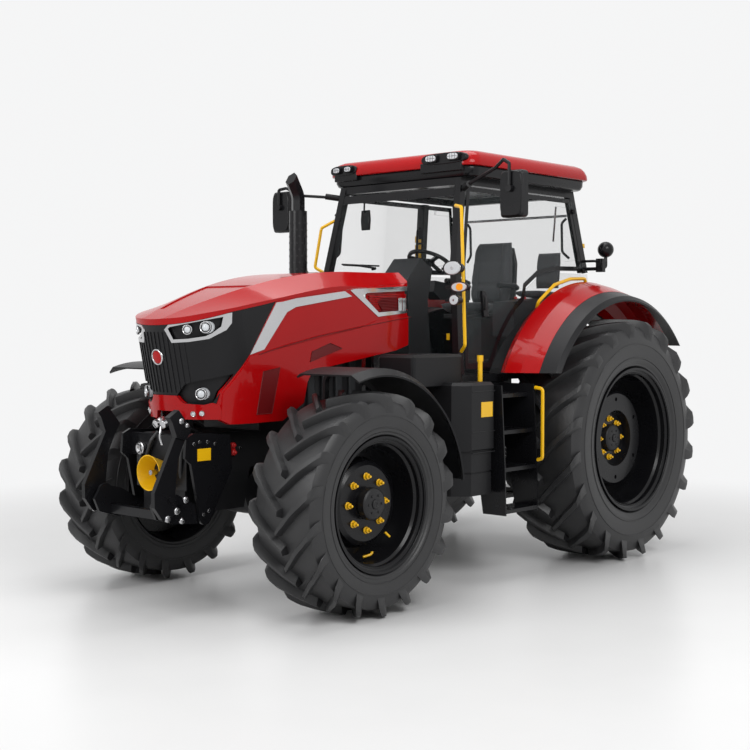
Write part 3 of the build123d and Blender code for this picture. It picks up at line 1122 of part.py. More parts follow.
# ---------------------------------------------------------------- front linkage and PTO
LINK_PIVOT = (ahead(3888), 679)
FOLD_PIN = (ahead(4236), 837)
LINKAGE_Y = (332, 356)      # side plates of the fixed frame
CARRIER_Y = (300, 324)
FRONT_LINK_Y = (364, 400)
LINK_HEAD_Y = (FRONT_LINK_Y[0], 414)
LINK_PIN_R = 20
PIVOT_BOSS_R = 52
FOLD_BOSS_R = 56
FRAME_PLATE = ((ahead(3660), 1236), (ahead(3990), 1262), (ahead(4056), 1231), (ahead(4068), 1096),
               (ahead(4014), 1050), (ahead(3938), 690), (ahead(3840), 662), (ahead(3640), 1000))
CARRIER_PLATE = ((ahead(3870), 630), (ahead(3982), 640), (ahead(4141), 655), (ahead(4290), 700),
                 (ahead(4330), 790), (ahead(4270), 880), (ahead(4190), 872), (ahead(4102), 850),
                 (ahead(3960), 770), (ahead(3862), 722))
LINK_PLATE = ((ahead(4185), 1250), (ahead(4367), 891), (ahead(4365), 792), (ahead(4301), 706),
              (ahead(4236), 692), (ahead(4180), 760), (ahead(4190), 880), (ahead(4165), 1098),
              (ahead(4104), 1228))
LINK_HEAD = ((ahead(4248), 1386), (ahead(4168), 1433), (ahead(4058), 1301), (ahead(4104), 1228),
             (ahead(4185), 1250), (ahead(4222), 1350))
with BuildPart() as front_linkage_frame:
    slab_xz(FRAME_PLATE, *LINKAGE_Y)
    rod((LINK_PIVOT[0], LINKAGE_Y[0], LINK_PIVOT[1]), (LINK_PIVOT[0], LINKAGE_Y[1], LINK_PIVOT[1]), PIVOT_BOSS_R)
    rod((LINK_PIVOT[0], LINKAGE_Y[0], LINK_PIVOT[1]), (LINK_PIVOT[0], LINKAGE_Y[1], LINK_PIVOT[1]),
        LINK_PIN_R + PIN_CLEARANCE, mode=Mode.SUBTRACT)
    block(ahead(3700), FRAME_NOSE, FRAME_HALF, LINKAGE_Y[0], 1080, 1200)
    mirror(about=Plane.XZ)
    block(FRAME_NOSE, ahead(3985), -LINKAGE_Y[0], LINKAGE_Y[0], 1080, 1236)
    block(FRAME_NOSE, ahead(3985), -270, 270, 860, 1080)
write(front_linkage_frame.part, "front_linkage_frame")

with BuildPart() as front_lift_arms:
    slab_xz(CARRIER_PLATE, *CARRIER_Y)
    rod((FOLD_PIN[0], CARRIER_Y[0], FOLD_PIN[1]), (FOLD_PIN[0], CARRIER_Y[1], FOLD_PIN[1]), FOLD_BOSS_R)
    rod((LINK_PIVOT[0], CARRIER_Y[0], LINK_PIVOT[1]), (LINK_PIVOT[0], LINKAGE_Y[1] + 4, LINK_PIVOT[1]), LINK_PIN_R)
    rod((FOLD_PIN[0], CARRIER_Y[0], FOLD_PIN[1]), (FOLD_PIN[0], FRONT_LINK_Y[1] + 10, FOLD_PIN[1]), LINK_PIN_R)
    mirror(about=Plane.XZ)
    block(ahead(4140), ahead(4200), -CARRIER_Y[0], CARRIER_Y[0], 680, 740)
write(front_lift_arms.part, "front_lift_arms")

with BuildPart() as front_link:
    slab_xz(LINK_PLATE, *FRONT_LINK_Y)
    slab_xz(LINK_HEAD, *LINK_HEAD_Y)
    rod((FOLD_PIN[0], FRONT_LINK_Y[0], FOLD_PIN[1]), (FOLD_PIN[0], FRONT_LINK_Y[1], FOLD_PIN[1]),
        LINK_PIN_R + PIN_CLEARANCE, mode=Mode.SUBTRACT)
write(front_link.part, "front_link_left")
write(mirror(front_link.part, about=Plane.XZ), "front_link_right")

PTO_Z = 976
PTO_R = 17.5
with BuildPart() as front_pto_guard:
    with BuildSketch(Plane.YZ.offset(ahead(3987))) as back:
        Circle(80)
    with BuildSketch(Plane.YZ.offset(ahead(4100))) as front:
        Circle(125)
    loft([back.sketch, front.sketch])
    offset(amount=-6, openings=front_pto_guard.faces().filter_by(Axis.X))
write(front_pto_guard.part.translate((0, 0, PTO_Z)), "front_pto_guard")

with BuildPart() as front_pto_shaft:
    rod((ahead(3991), 0, PTO_Z), (ahead(4080), 0, PTO_Z), PTO_R)
write(front_pto_shaft.part, "front_pto_shaft")

# ---------------------------------------------------------------- rear linkage and hitch
REAR_FACE = REAR_AXLE_X - HOUSING_HALF_X
LOWER_PIVOT = (ahead(-330), 640)
LOWER_LINK_Y = 360
LOWER_EYE_R = 18.5
LIFT_SHAFT = (ahead(-365), 1260)
LIFT_ARM_LENGTH = 420
with BuildPart() as rear_hitch:
    for side in SIDES.values():
        y_from = side * 250 - 15
        slab_xz(((ahead(-180), 698), (REAR_FACE, 756), (REAR_FACE - 60, 756), (ahead(-420), 560),
                 (ahead(-400), 400), (ahead(-180), 400)), y_from, y_from + 30)
    block(ahead(-400), ahead(-180), -265, 265, 440, 480)
    block(REAR_FACE - 95, REAR_FACE, -60, 60, 1095, 1205)
    block(REAR_FACE - 96, REAR_FACE - 20, -26, 26, 1090, 1210, mode=Mode.SUBTRACT)
    rod((REAR_FACE - 60, -60, 1150), (REAR_FACE - 60, 60, 1150), 12)
    for side in SIDES.values():
        y_from = side * 300 - 20
        slab_xz(((REAR_FACE, 1180), (REAR_FACE, 1320), (LIFT_SHAFT[0] - 50, LIFT_SHAFT[1] + 40),
                 (LIFT_SHAFT[0] - 50, LIFT_SHAFT[1] - 40)), y_from, y_from + 40)
    rod((LIFT_SHAFT[0], -330, LIFT_SHAFT[1]), (LIFT_SHAFT[0], 330, LIFT_SHAFT[1]), 30.5, mode=Mode.SUBTRACT)
    for side in SIDES.values():
        rod((LOWER_PIVOT[0], side * 265, LOWER_PIVOT[1]), (LOWER_PIVOT[0], side * 400, LOWER_PIVOT[1]), 20)
write(rear_hitch.part, "rear_hitch")

DRAWBAR_Z = (400, 440)
DRAWBAR_HOLE = (ahead(-1140), 17)
with BuildPart() as drawbar:
    block(ahead(-560), ahead(100), -60, 60, *DRAWBAR_Z)
    block(DRAWBAR_HOLE[0] - 50, ahead(-560), -50, 50, *DRAWBAR_Z)
    rod((DRAWBAR_HOLE[0], 0, DRAWBAR_Z[0]), (DRAWBAR_HOLE[0], 0, DRAWBAR_Z[1]), DRAWBAR_HOLE[1], mode=Mode.SUBTRACT)
write(drawbar.part, "drawbar")

with BuildPart() as rear_lift_arms:
    rod((LIFT_SHAFT[0], -390, LIFT_SHAFT[1]), (LIFT_SHAFT[0], 390, LIFT_SHAFT[1]), 30)
    for side in SIDES.values():
        y_from = side * 360 - 20
        slab_xz(((LIFT_SHAFT[0] + 50, LIFT_SHAFT[1] - 40), (LIFT_SHAFT[0] + 50, LIFT_SHAFT[1] + 40),
                 (LIFT_SHAFT[0] - LIFT_ARM_LENGTH - 30, LIFT_SHAFT[1] + 60),
                 (LIFT_SHAFT[0] - LIFT_ARM_LENGTH - 30, LIFT_SHAFT[1] - 5)), y_from, y_from + 40)
        rod((LIFT_SHAFT[0] - LIFT_ARM_LENGTH, side * 380, LIFT_SHAFT[1] + 25),
            (LIFT_SHAFT[0] - LIFT_ARM_LENGTH, side * 440, LIFT_SHAFT[1] + 25), 16)
write(rear_lift_arms.part, "rear_lift_arms")

with BuildPart() as rear_lower_links:
    for side in SIDES.values():
        y_from = side * LOWER_LINK_Y - 22
        slab_xz(((LOWER_PIVOT[0] + 40, LOWER_PIVOT[1] - 40), (LOWER_PIVOT[0] + 40, LOWER_PIVOT[1] + 40),
                 (ahead(-1330), 720), (ahead(-1410), 735), (ahead(-1420), 660), (ahead(-1330), 640)),
                y_from, y_from + 44)
    rod((LOWER_PIVOT[0], -420, LOWER_PIVOT[1]), (LOWER_PIVOT[0], 420, LOWER_PIVOT[1]), 20.5, mode=Mode.SUBTRACT)
    rod((ahead(-1380), -420, 697), (ahead(-1380), 420, 697), LOWER_EYE_R, mode=Mode.SUBTRACT)
write(rear_lower_links.part, "rear_lower_links")

ROD_TOP = (LIFT_SHAFT[0] - LIFT_ARM_LENGTH, LIFT_SHAFT[1] + 25)
ROD_FOOT = (ahead(-900), 760)
with BuildPart() as rear_lift_rods:
    for side in SIDES.values():
        y = side * 412
        rod((ROD_TOP[0], y - 18, ROD_TOP[1]), (ROD_TOP[0], y + 18, ROD_TOP[1]), 34)
        rod((ROD_TOP[0], y, ROD_TOP[1] - 20), (ROD_FOOT[0], y, ROD_FOOT[1]), 24)
    rod((ROD_TOP[0], -440, ROD_TOP[1]), (ROD_TOP[0], 440, ROD_TOP[1]), 16.5, mode=Mode.SUBTRACT)
write(rear_lift_rods.part, "rear_lift_rods")

TOP_EYE_R = 16.2
TOP_EYE = (ahead(-1070), 1060)
TOP_LINK = (REAR_FACE - 60, 1150)
with BuildPart() as top_link:
    rod((TOP_LINK[0], -20, TOP_LINK[1]), (TOP_LINK[0], 20, TOP_LINK[1]), 32)
    rod((TOP_LINK[0] - 20, 0, TOP_LINK[1]), (TOP_EYE[0] + 25, 0, TOP_EYE[1] + 3), 24)
    rod((TOP_EYE[0], -28, TOP_EYE[1]), (TOP_EYE[0], 28, TOP_EYE[1]), 36)
    rod((TOP_EYE[0], -28, TOP_EYE[1]), (TOP_EYE[0], 28, TOP_EYE[1]), TOP_EYE_R, mode=Mode.SUBTRACT)
    rod((TOP_LINK[0], -20, TOP_LINK[1]), (TOP_LINK[0], 20, TOP_LINK[1]), 12 + PIN_CLEARANCE, mode=Mode.SUBTRACT)
write(top_link.part, "top_link")

with BuildPart() as rear_pto_shaft:
    rod((REAR_FACE - 2, 0, 860), (REAR_FACE - 90, 0, 860), 22.5)
write(rear_pto_shaft.part, "rear_pto_shaft")
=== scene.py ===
"""Looks of the farm tractor: materials, treads, lamps, fasteners, seats, floor, light and camera.

Places are in millimetres ahead of the rear axle, to the left of the middle, and up. Sizes are in
millimetres too, except where a comment says metres.
"""
import json
import math
from types import SimpleNamespace
import bmesh
import bpy
from mathutils import Matrix, Vector


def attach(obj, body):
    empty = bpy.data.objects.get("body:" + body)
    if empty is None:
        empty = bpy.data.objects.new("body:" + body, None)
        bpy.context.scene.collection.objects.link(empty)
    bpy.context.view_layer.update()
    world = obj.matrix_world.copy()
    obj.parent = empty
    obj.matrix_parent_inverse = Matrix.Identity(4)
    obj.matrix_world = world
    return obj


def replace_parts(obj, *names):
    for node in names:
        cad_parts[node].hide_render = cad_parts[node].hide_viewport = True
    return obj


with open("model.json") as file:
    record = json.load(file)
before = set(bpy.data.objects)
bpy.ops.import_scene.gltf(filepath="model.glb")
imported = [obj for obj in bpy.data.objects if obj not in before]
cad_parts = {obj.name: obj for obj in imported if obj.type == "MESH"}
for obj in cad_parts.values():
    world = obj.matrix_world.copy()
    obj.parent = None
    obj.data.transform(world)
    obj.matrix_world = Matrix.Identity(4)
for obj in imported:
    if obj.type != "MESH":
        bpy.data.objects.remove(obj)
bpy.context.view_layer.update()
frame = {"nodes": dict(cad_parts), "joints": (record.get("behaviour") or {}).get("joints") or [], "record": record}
NODES = frame["nodes"]
JOINTS = {joint["name"]: joint for joint in frame["joints"]}
REAR_X = JOINTS["wheel_rear_left_spin"]["pos_m"][0]           # metres
SIDES = (("left", 1), ("right", -1))


# ---------------------------------------------------------------- materials
def dial(node, values):
    """Sets inputs of a shader node by their names."""
    for name, value in values.items():
        node.inputs[name].default_value = value


def shade(name, colour, rough, metal=0.0, coat=0.0, coat_rough=0.05, vary=0.10, vary_scale=5.0,
          bump=0.0, bump_scale=300.0, rough_vary=0.06, sheen=0.0, specular=0.3):
    """Procedural surface: a colour with slow variation, uneven roughness and a fine bump."""
    mat = bpy.data.materials.new(name)
    mat.use_nodes = True
    tree = mat.node_tree
    put = tree.nodes.new
    join = tree.links.new
    shader = tree.nodes["Principled BSDF"]
    dial(shader, {"Metallic": metal, "Coat Weight": coat, "Coat Roughness": coat_rough,
                  "Sheen Weight": sheen, "Specular IOR Level": specular})
    place = put("ShaderNodeTexCoord")
    slow = put("ShaderNodeTexNoise")
    dial(slow, {"Scale": vary_scale, "Detail": 6.0})
    join(place.outputs["Object"], slow.inputs["Vector"])
    tone = put("ShaderNodeMapRange")
    dial(tone, {"To Min": 1.0 - vary, "To Max": 1.0 + vary})
    join(slow.outputs["Fac"], tone.inputs["Value"])
    scale = put("ShaderNodeVectorMath")
    scale.operation = "SCALE"
    scale.inputs[0].default_value = colour
    join(tone.outputs["Result"], scale.inputs["Scale"])
    join(scale.outputs["Vector"], shader.inputs["Base Color"])
    spread = put("ShaderNodeMapRange")
    dial(spread, {"To Min": max(rough - rough_vary, 0.02), "To Max": rough + rough_vary})
    join(slow.outputs["Fac"], spread.inputs["Value"])
    join(spread.outputs["Result"], shader.inputs["Roughness"])
    if bump:
        fine = put("ShaderNodeTexNoise")
        dial(fine, {"Scale": bump_scale, "Detail": 4.0})
        join(place.outputs["Object"], fine.inputs["Vector"])
        relief = put("ShaderNodeBump")
        dial(relief, {"Strength": bump, "Distance": 0.001})
        join(fine.outputs["Fac"], relief.inputs["Height"])
        join(relief.outputs["Normal"], shader.inputs["Normal"])
    return mat


def glass(name, colour, alpha, edge_alpha):
    """Clear sheet that light passes through, with a faint tint that grows edge-on."""
    mat = bpy.data.materials.new(name)
    mat.use_nodes = True
    tree = mat.node_tree
    shader = tree.nodes["Principled BSDF"]
    dial(shader, {"Base Color": (*colour, 1), "Roughness": 0.02, "Specular IOR Level": 0.6})
    edge = tree.nodes.new("ShaderNodeLayerWeight")
    dial(edge, {"Blend": 0.25})
    span = tree.nodes.new("ShaderNodeMapRange")
    dial(span, {"To Min": alpha, "To Max": edge_alpha})
    tree.links.new(edge.outputs["Fresnel"], span.inputs["Value"])
    tree.links.new(span.outputs["Result"], shader.inputs["Alpha"])
    return mat


def glow(name, colour, strength):
    """Lamp face: a bright smooth plastic that gives a little light of its own."""
    mat = shade(name, colour, rough=0.08, vary=0.05, vary_scale=40)
    dial(mat.node_tree.nodes["Principled BSDF"],
         {"Emission Color": (*colour, 1), "Emission Strength": strength})
    return mat


RED = shade("red_paint", (0.340, 0.002, 0.003), 0.20, coat=0.25, coat_rough=0.03, vary=0.05,
            rough_vary=0.03, specular=0.10)
BLACK = shade("black_paint", (0.006, 0.006, 0.007), 0.28, coat=0.10, coat_rough=0.12, vary=0.15,
              specular=0.18)
PLASTIC = shade("black_plastic", (0.008, 0.008, 0.009), 0.40, vary=0.15, bump=0.3, bump_scale=900,
                specular=0.2)
IRON = shade("grey_iron", (0.010, 0.010, 0.011), 0.40, vary=0.2, bump=0.4, bump_scale=500)
RUBBER = shade("tyre_rubber", (0.019, 0.019, 0.020), 0.42, vary=0.25, vary_scale=9, bump=0.5,
               bump_scale=600, specular=0.4)
YELLOW = shade("yellow_paint", (0.78, 0.44, 0.006), 0.30, coat=0.3, vary=0.05)
STEEL = shade("steel", (0.50, 0.50, 0.51), 0.26, metal=1.0, bump=0.2, bump_scale=1200)
GREY = shade("grey_plastic", (0.020, 0.021, 0.023), 0.5, bump=0.4, bump_scale=900)
FABRIC = shade("seat_fabric", (0.048, 0.050, 0.054), 0.8, vary=0.2, vary_scale=30, bump=0.6,
               bump_scale=1500, sheen=0.2)
TRIM = shade("seat_trim", (0.055, 0.057, 0.062), 0.75, vary=0.15, vary_scale=40, bump=0.6,
             bump_scale=1200, sheen=0.2)
CLEAR = glass("glass", (0.06, 0.075, 0.078), alpha=0.025, edge_alpha=0.185)
SILVER = shade("silver_trim", (0.52, 0.52, 0.53), 0.16, metal=0.95, vary=0.12, vary_scale=3)
LAMP = glow("lamp_glass", (0.52, 0.54, 0.56), 0.06)
AMBER = glow("amber_lens", (0.85, 0.30, 0.02), 0.15)
DARK = shade("dark_lens", (0.020, 0.020, 0.022), 0.08, coat=1.0, vary_scale=60)
# darker red: painted shade for the vent slats, the intake recesses and the crease lines
SHADED_RED = shade("red_mesh_painted_shade", (0.110, 0.003, 0.004), 0.4, vary_scale=60, bump=0.4, bump_scale=900)
RED_RUBBER = shade("red_rubber", (0.42, 0.010, 0.010), 0.4)
RED_KNOB = shade("red_knob", (0.45, 0.010, 0.010), 0.35)
MIRROR = shade("mirror", (0.80, 0.82, 0.83), 0.03, metal=1.0, vary=0.02)

FINISH = {
    "red_paint": RED, "black_paint": BLACK, "grey_iron": IRON, "yellow_paint": YELLOW,
    "black_plastic": PLASTIC, "tyre_rubber": RUBBER, "glass": CLEAR, "seat_fabric": FABRIC,
    "steel": STEEL, "grey_plastic": GREY, "silver_trim": SILVER, "lamp_glass": LAMP,
}
for part in frame["record"]["subparts"]:
    mesh = NODES[part["node"]].data
    mesh.materials.clear()
    mesh.materials.append(FINISH[part["material_slot"]])
NODES["cab_lamps"].data.materials[0] = PLASTIC                # their lenses are pieces of their own

# ---------------------------------------------------------------- forms for the small pieces
TIP = 0.05                     # least radius of a turned form, so that no ring shrinks to a point
BEND_REACH = 0.05              # metres; longest stretch that a pipe's bend is taken from
BEND_SHARE = 0.45              # of the stretch
BEND_STEPS = (0, 0.25, 0.5, 0.75, 1)


def mm(x, y, z):
    """The point, in metres in the frame, of a place in millimetres."""
    return Vector((x / 1000 + REAR_X, y / 1000, z / 1000))


def facing(origin, out, across=None):
    """Local frame at origin, its z along out and its x near across."""
    z = Vector(out).normalized()
    x = Vector(across) if across else z.orthogonal()
    x = (x - z * x.dot(z)).normalized()
    turn = Matrix((x, z.cross(x), z)).transposed().to_4x4()
    turn.translation = mm(*origin)
    return turn


def outboard(x, y, z, side):
    """Local frame on one side of the tractor that faces away from its middle."""
    return facing((x, side * y, z), (0, side, 0))


def around(count, radius, start=0.0):
    """Points of a circle, local (x, y)."""
    turns = [math.tau * i / count + start for i in range(count)]
    return [(radius * math.cos(a), radius * math.sin(a)) for a in turns]


def hexagon(radius):
    """Corners of a nut or bolt head, local (x, y)."""
    return around(6, radius)


def rectangle(x0, y0, x1, y1):
    """Corners of a rectangle between two of them, local (x, y)."""
    return (x0, y0), (x1, y0), (x1, y1), (x0, y1)


def squircle(half_u, half_v, power=3.0, count=28):
    """Rounded oblong in local (x, y)."""
    ring = []
    for i in range(count):
        c, s = math.cos(math.tau * i / count), math.sin(math.tau * i / count)
        ring.append((half_u * math.copysign(abs(c) ** (2 / power), c),
                     half_v * math.copysign(abs(s) ** (2 / power), s)))
    return ring


def oblong(x0, x1, half, corner, z, steps=8):
    """Rounded rectangle at height z, as points of the frame."""
    ring = []
    for cx, cy, start in ((x1 - corner, half - corner, 0), (x0 + corner, half - corner, 90),
                          (x0 + corner, corner - half, 180), (x1 - corner, corner - half, 270)):
        for i in range(steps + 1):
            a = math.radians(start + 90 * i / steps)
            ring.append(mm(cx + corner * math.cos(a), cy + corner * math.sin(a), z))
    return ring


def softened(line):
    """The same path with a curve at every inner corner."""
    path = [line[0]]
    for before, here, after in zip(line, line[1:], line[2:]):
        reach = min((before - here).length, (after - here).length, BEND_REACH) * BEND_SHARE
        start = here + (before - here).normalized() * reach
        end = here + (after - here).normalized() * reach
        path += [start.lerp(here, t).lerp(here.lerp(end, t), t) for t in BEND_STEPS]
    return path + [line[-1]]


class Kit:
    """One small piece gathered from closed forms; smooth is the angle above which edges are sharp."""

    def __init__(self, name, body, material, slot, bevel=0.0, smooth=50):
        self.name, self.body, self.material, self.slot = name, body, material, slot
        self.bevel, self.smooth = bevel, smooth
        self.mesh = bmesh.new()

    def rows(self, rings, at):
        """New vertices for rings of points, in metres."""
        turn = at or Matrix.Identity(4)
        return [[self.mesh.verts.new(turn @ Vector(p)) for p in ring] for ring in rings]

    def wall(self, low, high):
        """Faces from one ring of vertices to the next."""
        for i in range(len(low)):
            j = (i + 1) % len(low)
            self.mesh.faces.new((low[i], low[j], high[j], high[i]))

    def skin(self, rings, at=None):
        """Closed skin through rings of points, in metres, that all have the same count."""
        rows = self.rows(rings, at)
        for low, high in zip(rows, rows[1:]):
            self.wall(low, high)
        self.mesh.faces.new(rows[0][::-1])
        self.mesh.faces.new(rows[-1])

    def loop(self, rings, at=None):
        """Skin through rings of points, in metres, that goes on from the last to the first."""
        rows = self.rows(rings, at)
        for low, high in zip(rows, rows[1:] + rows[:1]):
            self.wall(low, high)

    def turned(self, profile, at, count=24):
        """Solid of revolution about local z; profile is (along, radius) from end to end."""
        self.skin([[(x, y, z / 1000) for x, y in around(count, max(r, TIP) / 1000)]
                   for z, r in profile], at)

    def hollow(self, profile, at, count=32):
        """Ring of revolution about local z; profile is a closed outline of (along, radius)."""
        self.loop([[(x, y, z / 1000) for x, y in around(count, r / 1000)] for z, r in profile], at)

    def prism(self, outline, low, high, at):
        """Outline of local (x, y), from low to high along local z."""
        self.skin([[(x / 1000, y / 1000, z / 1000) for x, y in outline] for z in (low, high)], at)

    def block(self, low, high):
        """Box between two corners."""
        x0, y0, z0 = low
        x1, y1, z1 = high
        self.skin([[mm(x, y, z) for x, y in rectangle(x0, y0, x1, y1)] for z in (z0, z1)])

    def pipe(self, points, radius, count=10, soft=True):
        """Round bar along points; soft rounds its corners."""
        line = [mm(*point) for point in points]
        if soft:
            line = softened(line)
        across = (line[1] - line[0]).normalized().orthogonal()
        rings = []
        for i, point in enumerate(line):
            way = (line[min(i + 1, len(line) - 1)] - line[max(i - 1, 0)]).normalized()
            across = (across - way * across.dot(way)).normalized()
            other = way.cross(across)
            rings.append([point + (across * c + other * s) * radius / 1000
                          for c, s in around(count, 1)])
        self.skin(rings)

    def done(self):
        """The finished object, on its body."""
        bmesh.ops.recalc_face_normals(self.mesh, faces=self.mesh.faces)
        data = bpy.data.meshes.new(self.name)
        self.mesh.to_mesh(data)
        self.mesh.free()
        piece = bpy.data.objects.new(self.name, data)
        bpy.context.scene.collection.objects.link(piece)
        data.materials.append(self.material)
        data.shade_smooth()
        data.set_sharp_from_angle(angle=math.radians(self.smooth))
        if self.bevel:
            edge = piece.modifiers.new("edge", "BEVEL")
            edge.width = self.bevel / 1000
            edge.segments = 2
            edge.limit_method = "ANGLE"
        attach(piece, self.body)
        return piece


# ---------------------------------------------------------------- wheels
def wheel_sizes(axle, **sizes):
    """Sizes of an axle's wheels, with their place and radius taken from the left wheel's joint."""
    x, y, z = JOINTS[f"wheel_{axle}_left_spin"]["pos_m"]
    return SimpleNamespace(x=round((x - REAR_X) * 1000), track=round(y * 1000),
                           radius=round(z * 1000), **sizes)


# faces are distances from the tractor's middle, beads are (inward, thickness), and nut_circle, nut,
# cap, flange and tyre_bead are radii
WHEELS = {
    "front": wheel_sizes("front", disc_face=1175, nut_circle=186, nut=21, cap_face=1262, cap=92,
                         flange_face=1328, flange=456, beads=((-3, 12), (-24, 9)),
                         tyre_width=574, tyre_bead=472, lugs=18),
    "rear": wheel_sizes("rear", disc_face=1158, nut_circle=165, nut=23, cap_face=1215, cap=95,
                        flange_face=1414, flange=596, beads=((-3, 14), (-30, 10)),
                        tyre_width=710, tyre_bead=612, lugs=20),
}
NUT_COUNT, CAP_BOLTS = 8, 6


def wheel_nuts(axle, hand, side):
    """Ring of nuts on washers, with the ends of their studs."""
    wheel = WHEELS[axle]
    kit = Kit(f"nuts_{axle}_{hand}", f"wheel_{axle}_{hand}", YELLOW, "yellow_paint", bevel=2)
    for px, pz in around(NUT_COUNT, wheel.nut_circle, math.pi / 2):
        at = outboard(wheel.x + px, wheel.disc_face, wheel.radius + pz, side)
        washer = wheel.nut * 1.25
        kit.turned(((-2, washer), (5, washer), (7, wheel.nut)), at)
        kit.prism(hexagon(wheel.nut), 0, 26, at)
        kit.turned(((20, 10), (44, 10), (48, 7)), at, 12)
    kit.done()


def hub_cap(axle, hand, side):
    """Domed cover of the hub with its bolts and centre plug."""
    wheel = WHEELS[axle]
    kit = Kit(f"hub_bolts_{axle}_{hand}", f"wheel_{axle}_{hand}", IRON, "grey_iron", bevel=1)
    for px, pz in around(CAP_BOLTS, wheel.cap * 0.72):
        at = outboard(wheel.x + px, wheel.cap_face, wheel.radius + pz, side)
        kit.prism(hexagon(9), -2, 7, at)
    at = outboard(wheel.x, wheel.cap_face, wheel.radius, side)
    kit.turned(((-2, 34), (8, 34), (12, 28), (12, 14), (7, 10)), at)
    kit.turned(((-60, wheel.cap * 1.24), (-12, wheel.cap * 1.22), (-4, wheel.cap * 1.12),
                (1, wheel.cap), (2, 40)), at, 48)
    kit.done()


def rim_lip(axle, hand, side):
    """Two rolled beads inside the rim's flange."""
    wheel = WHEELS[axle]
    kit = Kit(f"rim_lip_{axle}_{hand}", f"wheel_{axle}_{hand}", BLACK, "black_paint")
    for inward, thick in wheel.beads:
        section = [(inward + u, wheel.flange + inward + v) for u, v in around(8, thick / 2)]
        kit.hollow(section, outboard(wheel.x, wheel.flange_face, wheel.radius, side), 72)
    kit.done()


for hand, side in SIDES:
    for axle in WHEELS:
        wheel_nuts(axle, hand, side)
        hub_cap(axle, hand, side)
        rim_lip(axle, hand, side)
    valves = Kit(f"valves_{hand}", f"wheel_front_{hand}", YELLOW, "yellow_paint")
    valves.pipe(((2955, side * 1178, 552), (2925, side * 1196, 518)), 9)
    valves.pipe(((3120, side * 1120, 392), (3065, side * 1142, 404), (3045, side * 1142, 420)), 9)
    valves.done()

# ---------------------------------------------------------------- tyres
# carcass from bead to crown: share of the half width, share of the height
SIDE_WALL = ((0.84, 0.0), (0.895, 0.05), (0.90, 0.10), (0.935, 0.14), (0.94, 0.22),
             (0.955, 0.225), (0.957, 0.245), (0.945, 0.25), (0.968, 0.42), (0.975, 0.55),
             (0.985, 0.555), (0.984, 0.58), (0.972, 0.585), (0.955, 0.72), (0.92, 0.86),
             (0.86, 0.95), (0.70, 0.985), (0.35, 1.0))
# a lug's foot and crest from the middle to the shoulder: share of the half width, drop
FOOT = ((-0.05, 8), (0.25, 8), (0.50, 10), (0.72, 16), (0.86, 26), (0.93, 60), (0.955, 110))
CREST = ((-0.05, 0), (0.25, 0), (0.50, 1), (0.76, 4), (0.93, 14), (0.988, 40), (0.995, 92))
TREAD_DEPTH = 56
GROUND_GAP = 1
STATIONS = 13                                                 # rings of points along a lug
FLANK = ((15, 0), (3, 0.8), (-4, 1))                          # past the half width, share of height
HALF_WIDTH, WIDENING, EXTRA = 21, 10, 3                       # of a lug; all but EXTRA scale down
LAG_START, LAG_SPAN = -0.50, 1.20                             # sweep of a lug, in lug pitches
LAG_CURVE = 1.6                                               # how soon it sweeps


def along_path(path, share):
    """The point at a share of the way along a path, its stretches taken as equally long."""
    spot = share * (len(path) - 1)
    k = min(int(spot), len(path) - 2)
    return tuple(p + (q - p) * (spot - k) for p, q in zip(path[k], path[k + 1]))


def lug_ring(wheel, side, half_tread, lug, t):
    """Points across one lug, at share t of the way from the middle to the shoulder."""
    foot_w, foot_drop = along_path(FOOT, t)
    crest_w, crest_drop = along_path(CREST, t)
    r_foot = wheel.radius - TREAD_DEPTH - foot_drop
    r_crest = wheel.radius - GROUND_GAP - crest_drop
    lag = LAG_START + LAG_SPAN * (1 - (1 - t) ** LAG_CURVE)
    pitch = lug + lag + (0 if half_tread > 0 else 0.5)
    wide = (HALF_WIDTH + WIDENING * t) * wheel.radius / WHEELS["rear"].radius + EXTRA
    section = [(-wide - past, share) for past, share in FLANK]
    section += [(wide + past, share) for past, share in FLANK[::-1]]
    ring = []
    for offset, share in section:
        w = (foot_w + (crest_w - foot_w) * share) * wheel.tyre_width / 2 * half_tread
        r = r_foot + (r_crest - r_foot) * share
        turn = pitch * math.tau / wheel.lugs + offset / r
        ring.append(mm(wheel.x + r * math.cos(turn), side * (wheel.track + w),
                       wheel.radius + r * math.sin(turn)))
    return ring


def tyre(axle, hand, side):
    """Rounded side walls and full lugs that stand for the plainer tyre of the frame."""
    wheel = WHEELS[axle]
    kit = Kit(f"tread_{axle}_{hand}", f"wheel_{axle}_{hand}", RUBBER, "tyre_rubber", smooth=38)
    height = wheel.radius - TREAD_DEPTH - wheel.tyre_bead
    outer = [(share * wheel.tyre_width / 2, wheel.tyre_bead + rise * height)
             for share, rise in SIDE_WALL]
    inner = [(-w, r) for w, r in outer[::-1]]
    kit.hollow(outer + inner, outboard(wheel.x, wheel.track, wheel.radius, side), 120)
    for half_tread in (1, -1):
        for lug in range(wheel.lugs):
            kit.skin([lug_ring(wheel, side, half_tread, lug, i / (STATIONS - 1))
                      for i in range(STATIONS)])
    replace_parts(kit.done(), f"tyre_{axle}_{hand}")


for hand, side in SIDES:
    for axle in WHEELS:
        tyre(axle, hand, side)

# ---------------------------------------------------------------- nose: lamps, roundel, bumper lamps
# place and radius; place and direction
HEADLAMPS = ((3966, 268, 1968, 36), (3880, 358, 1984, 42), (3870, 296, 1524, 42))
HEADLAMP_TURN = math.radians(30)                              # away from straight ahead
BUMPER_LAMPS = (((3888, 233, 1385), (0.89, 0.42, -0.17)), ((3856, 285, 1390), (0.75, 0.64, -0.15)))

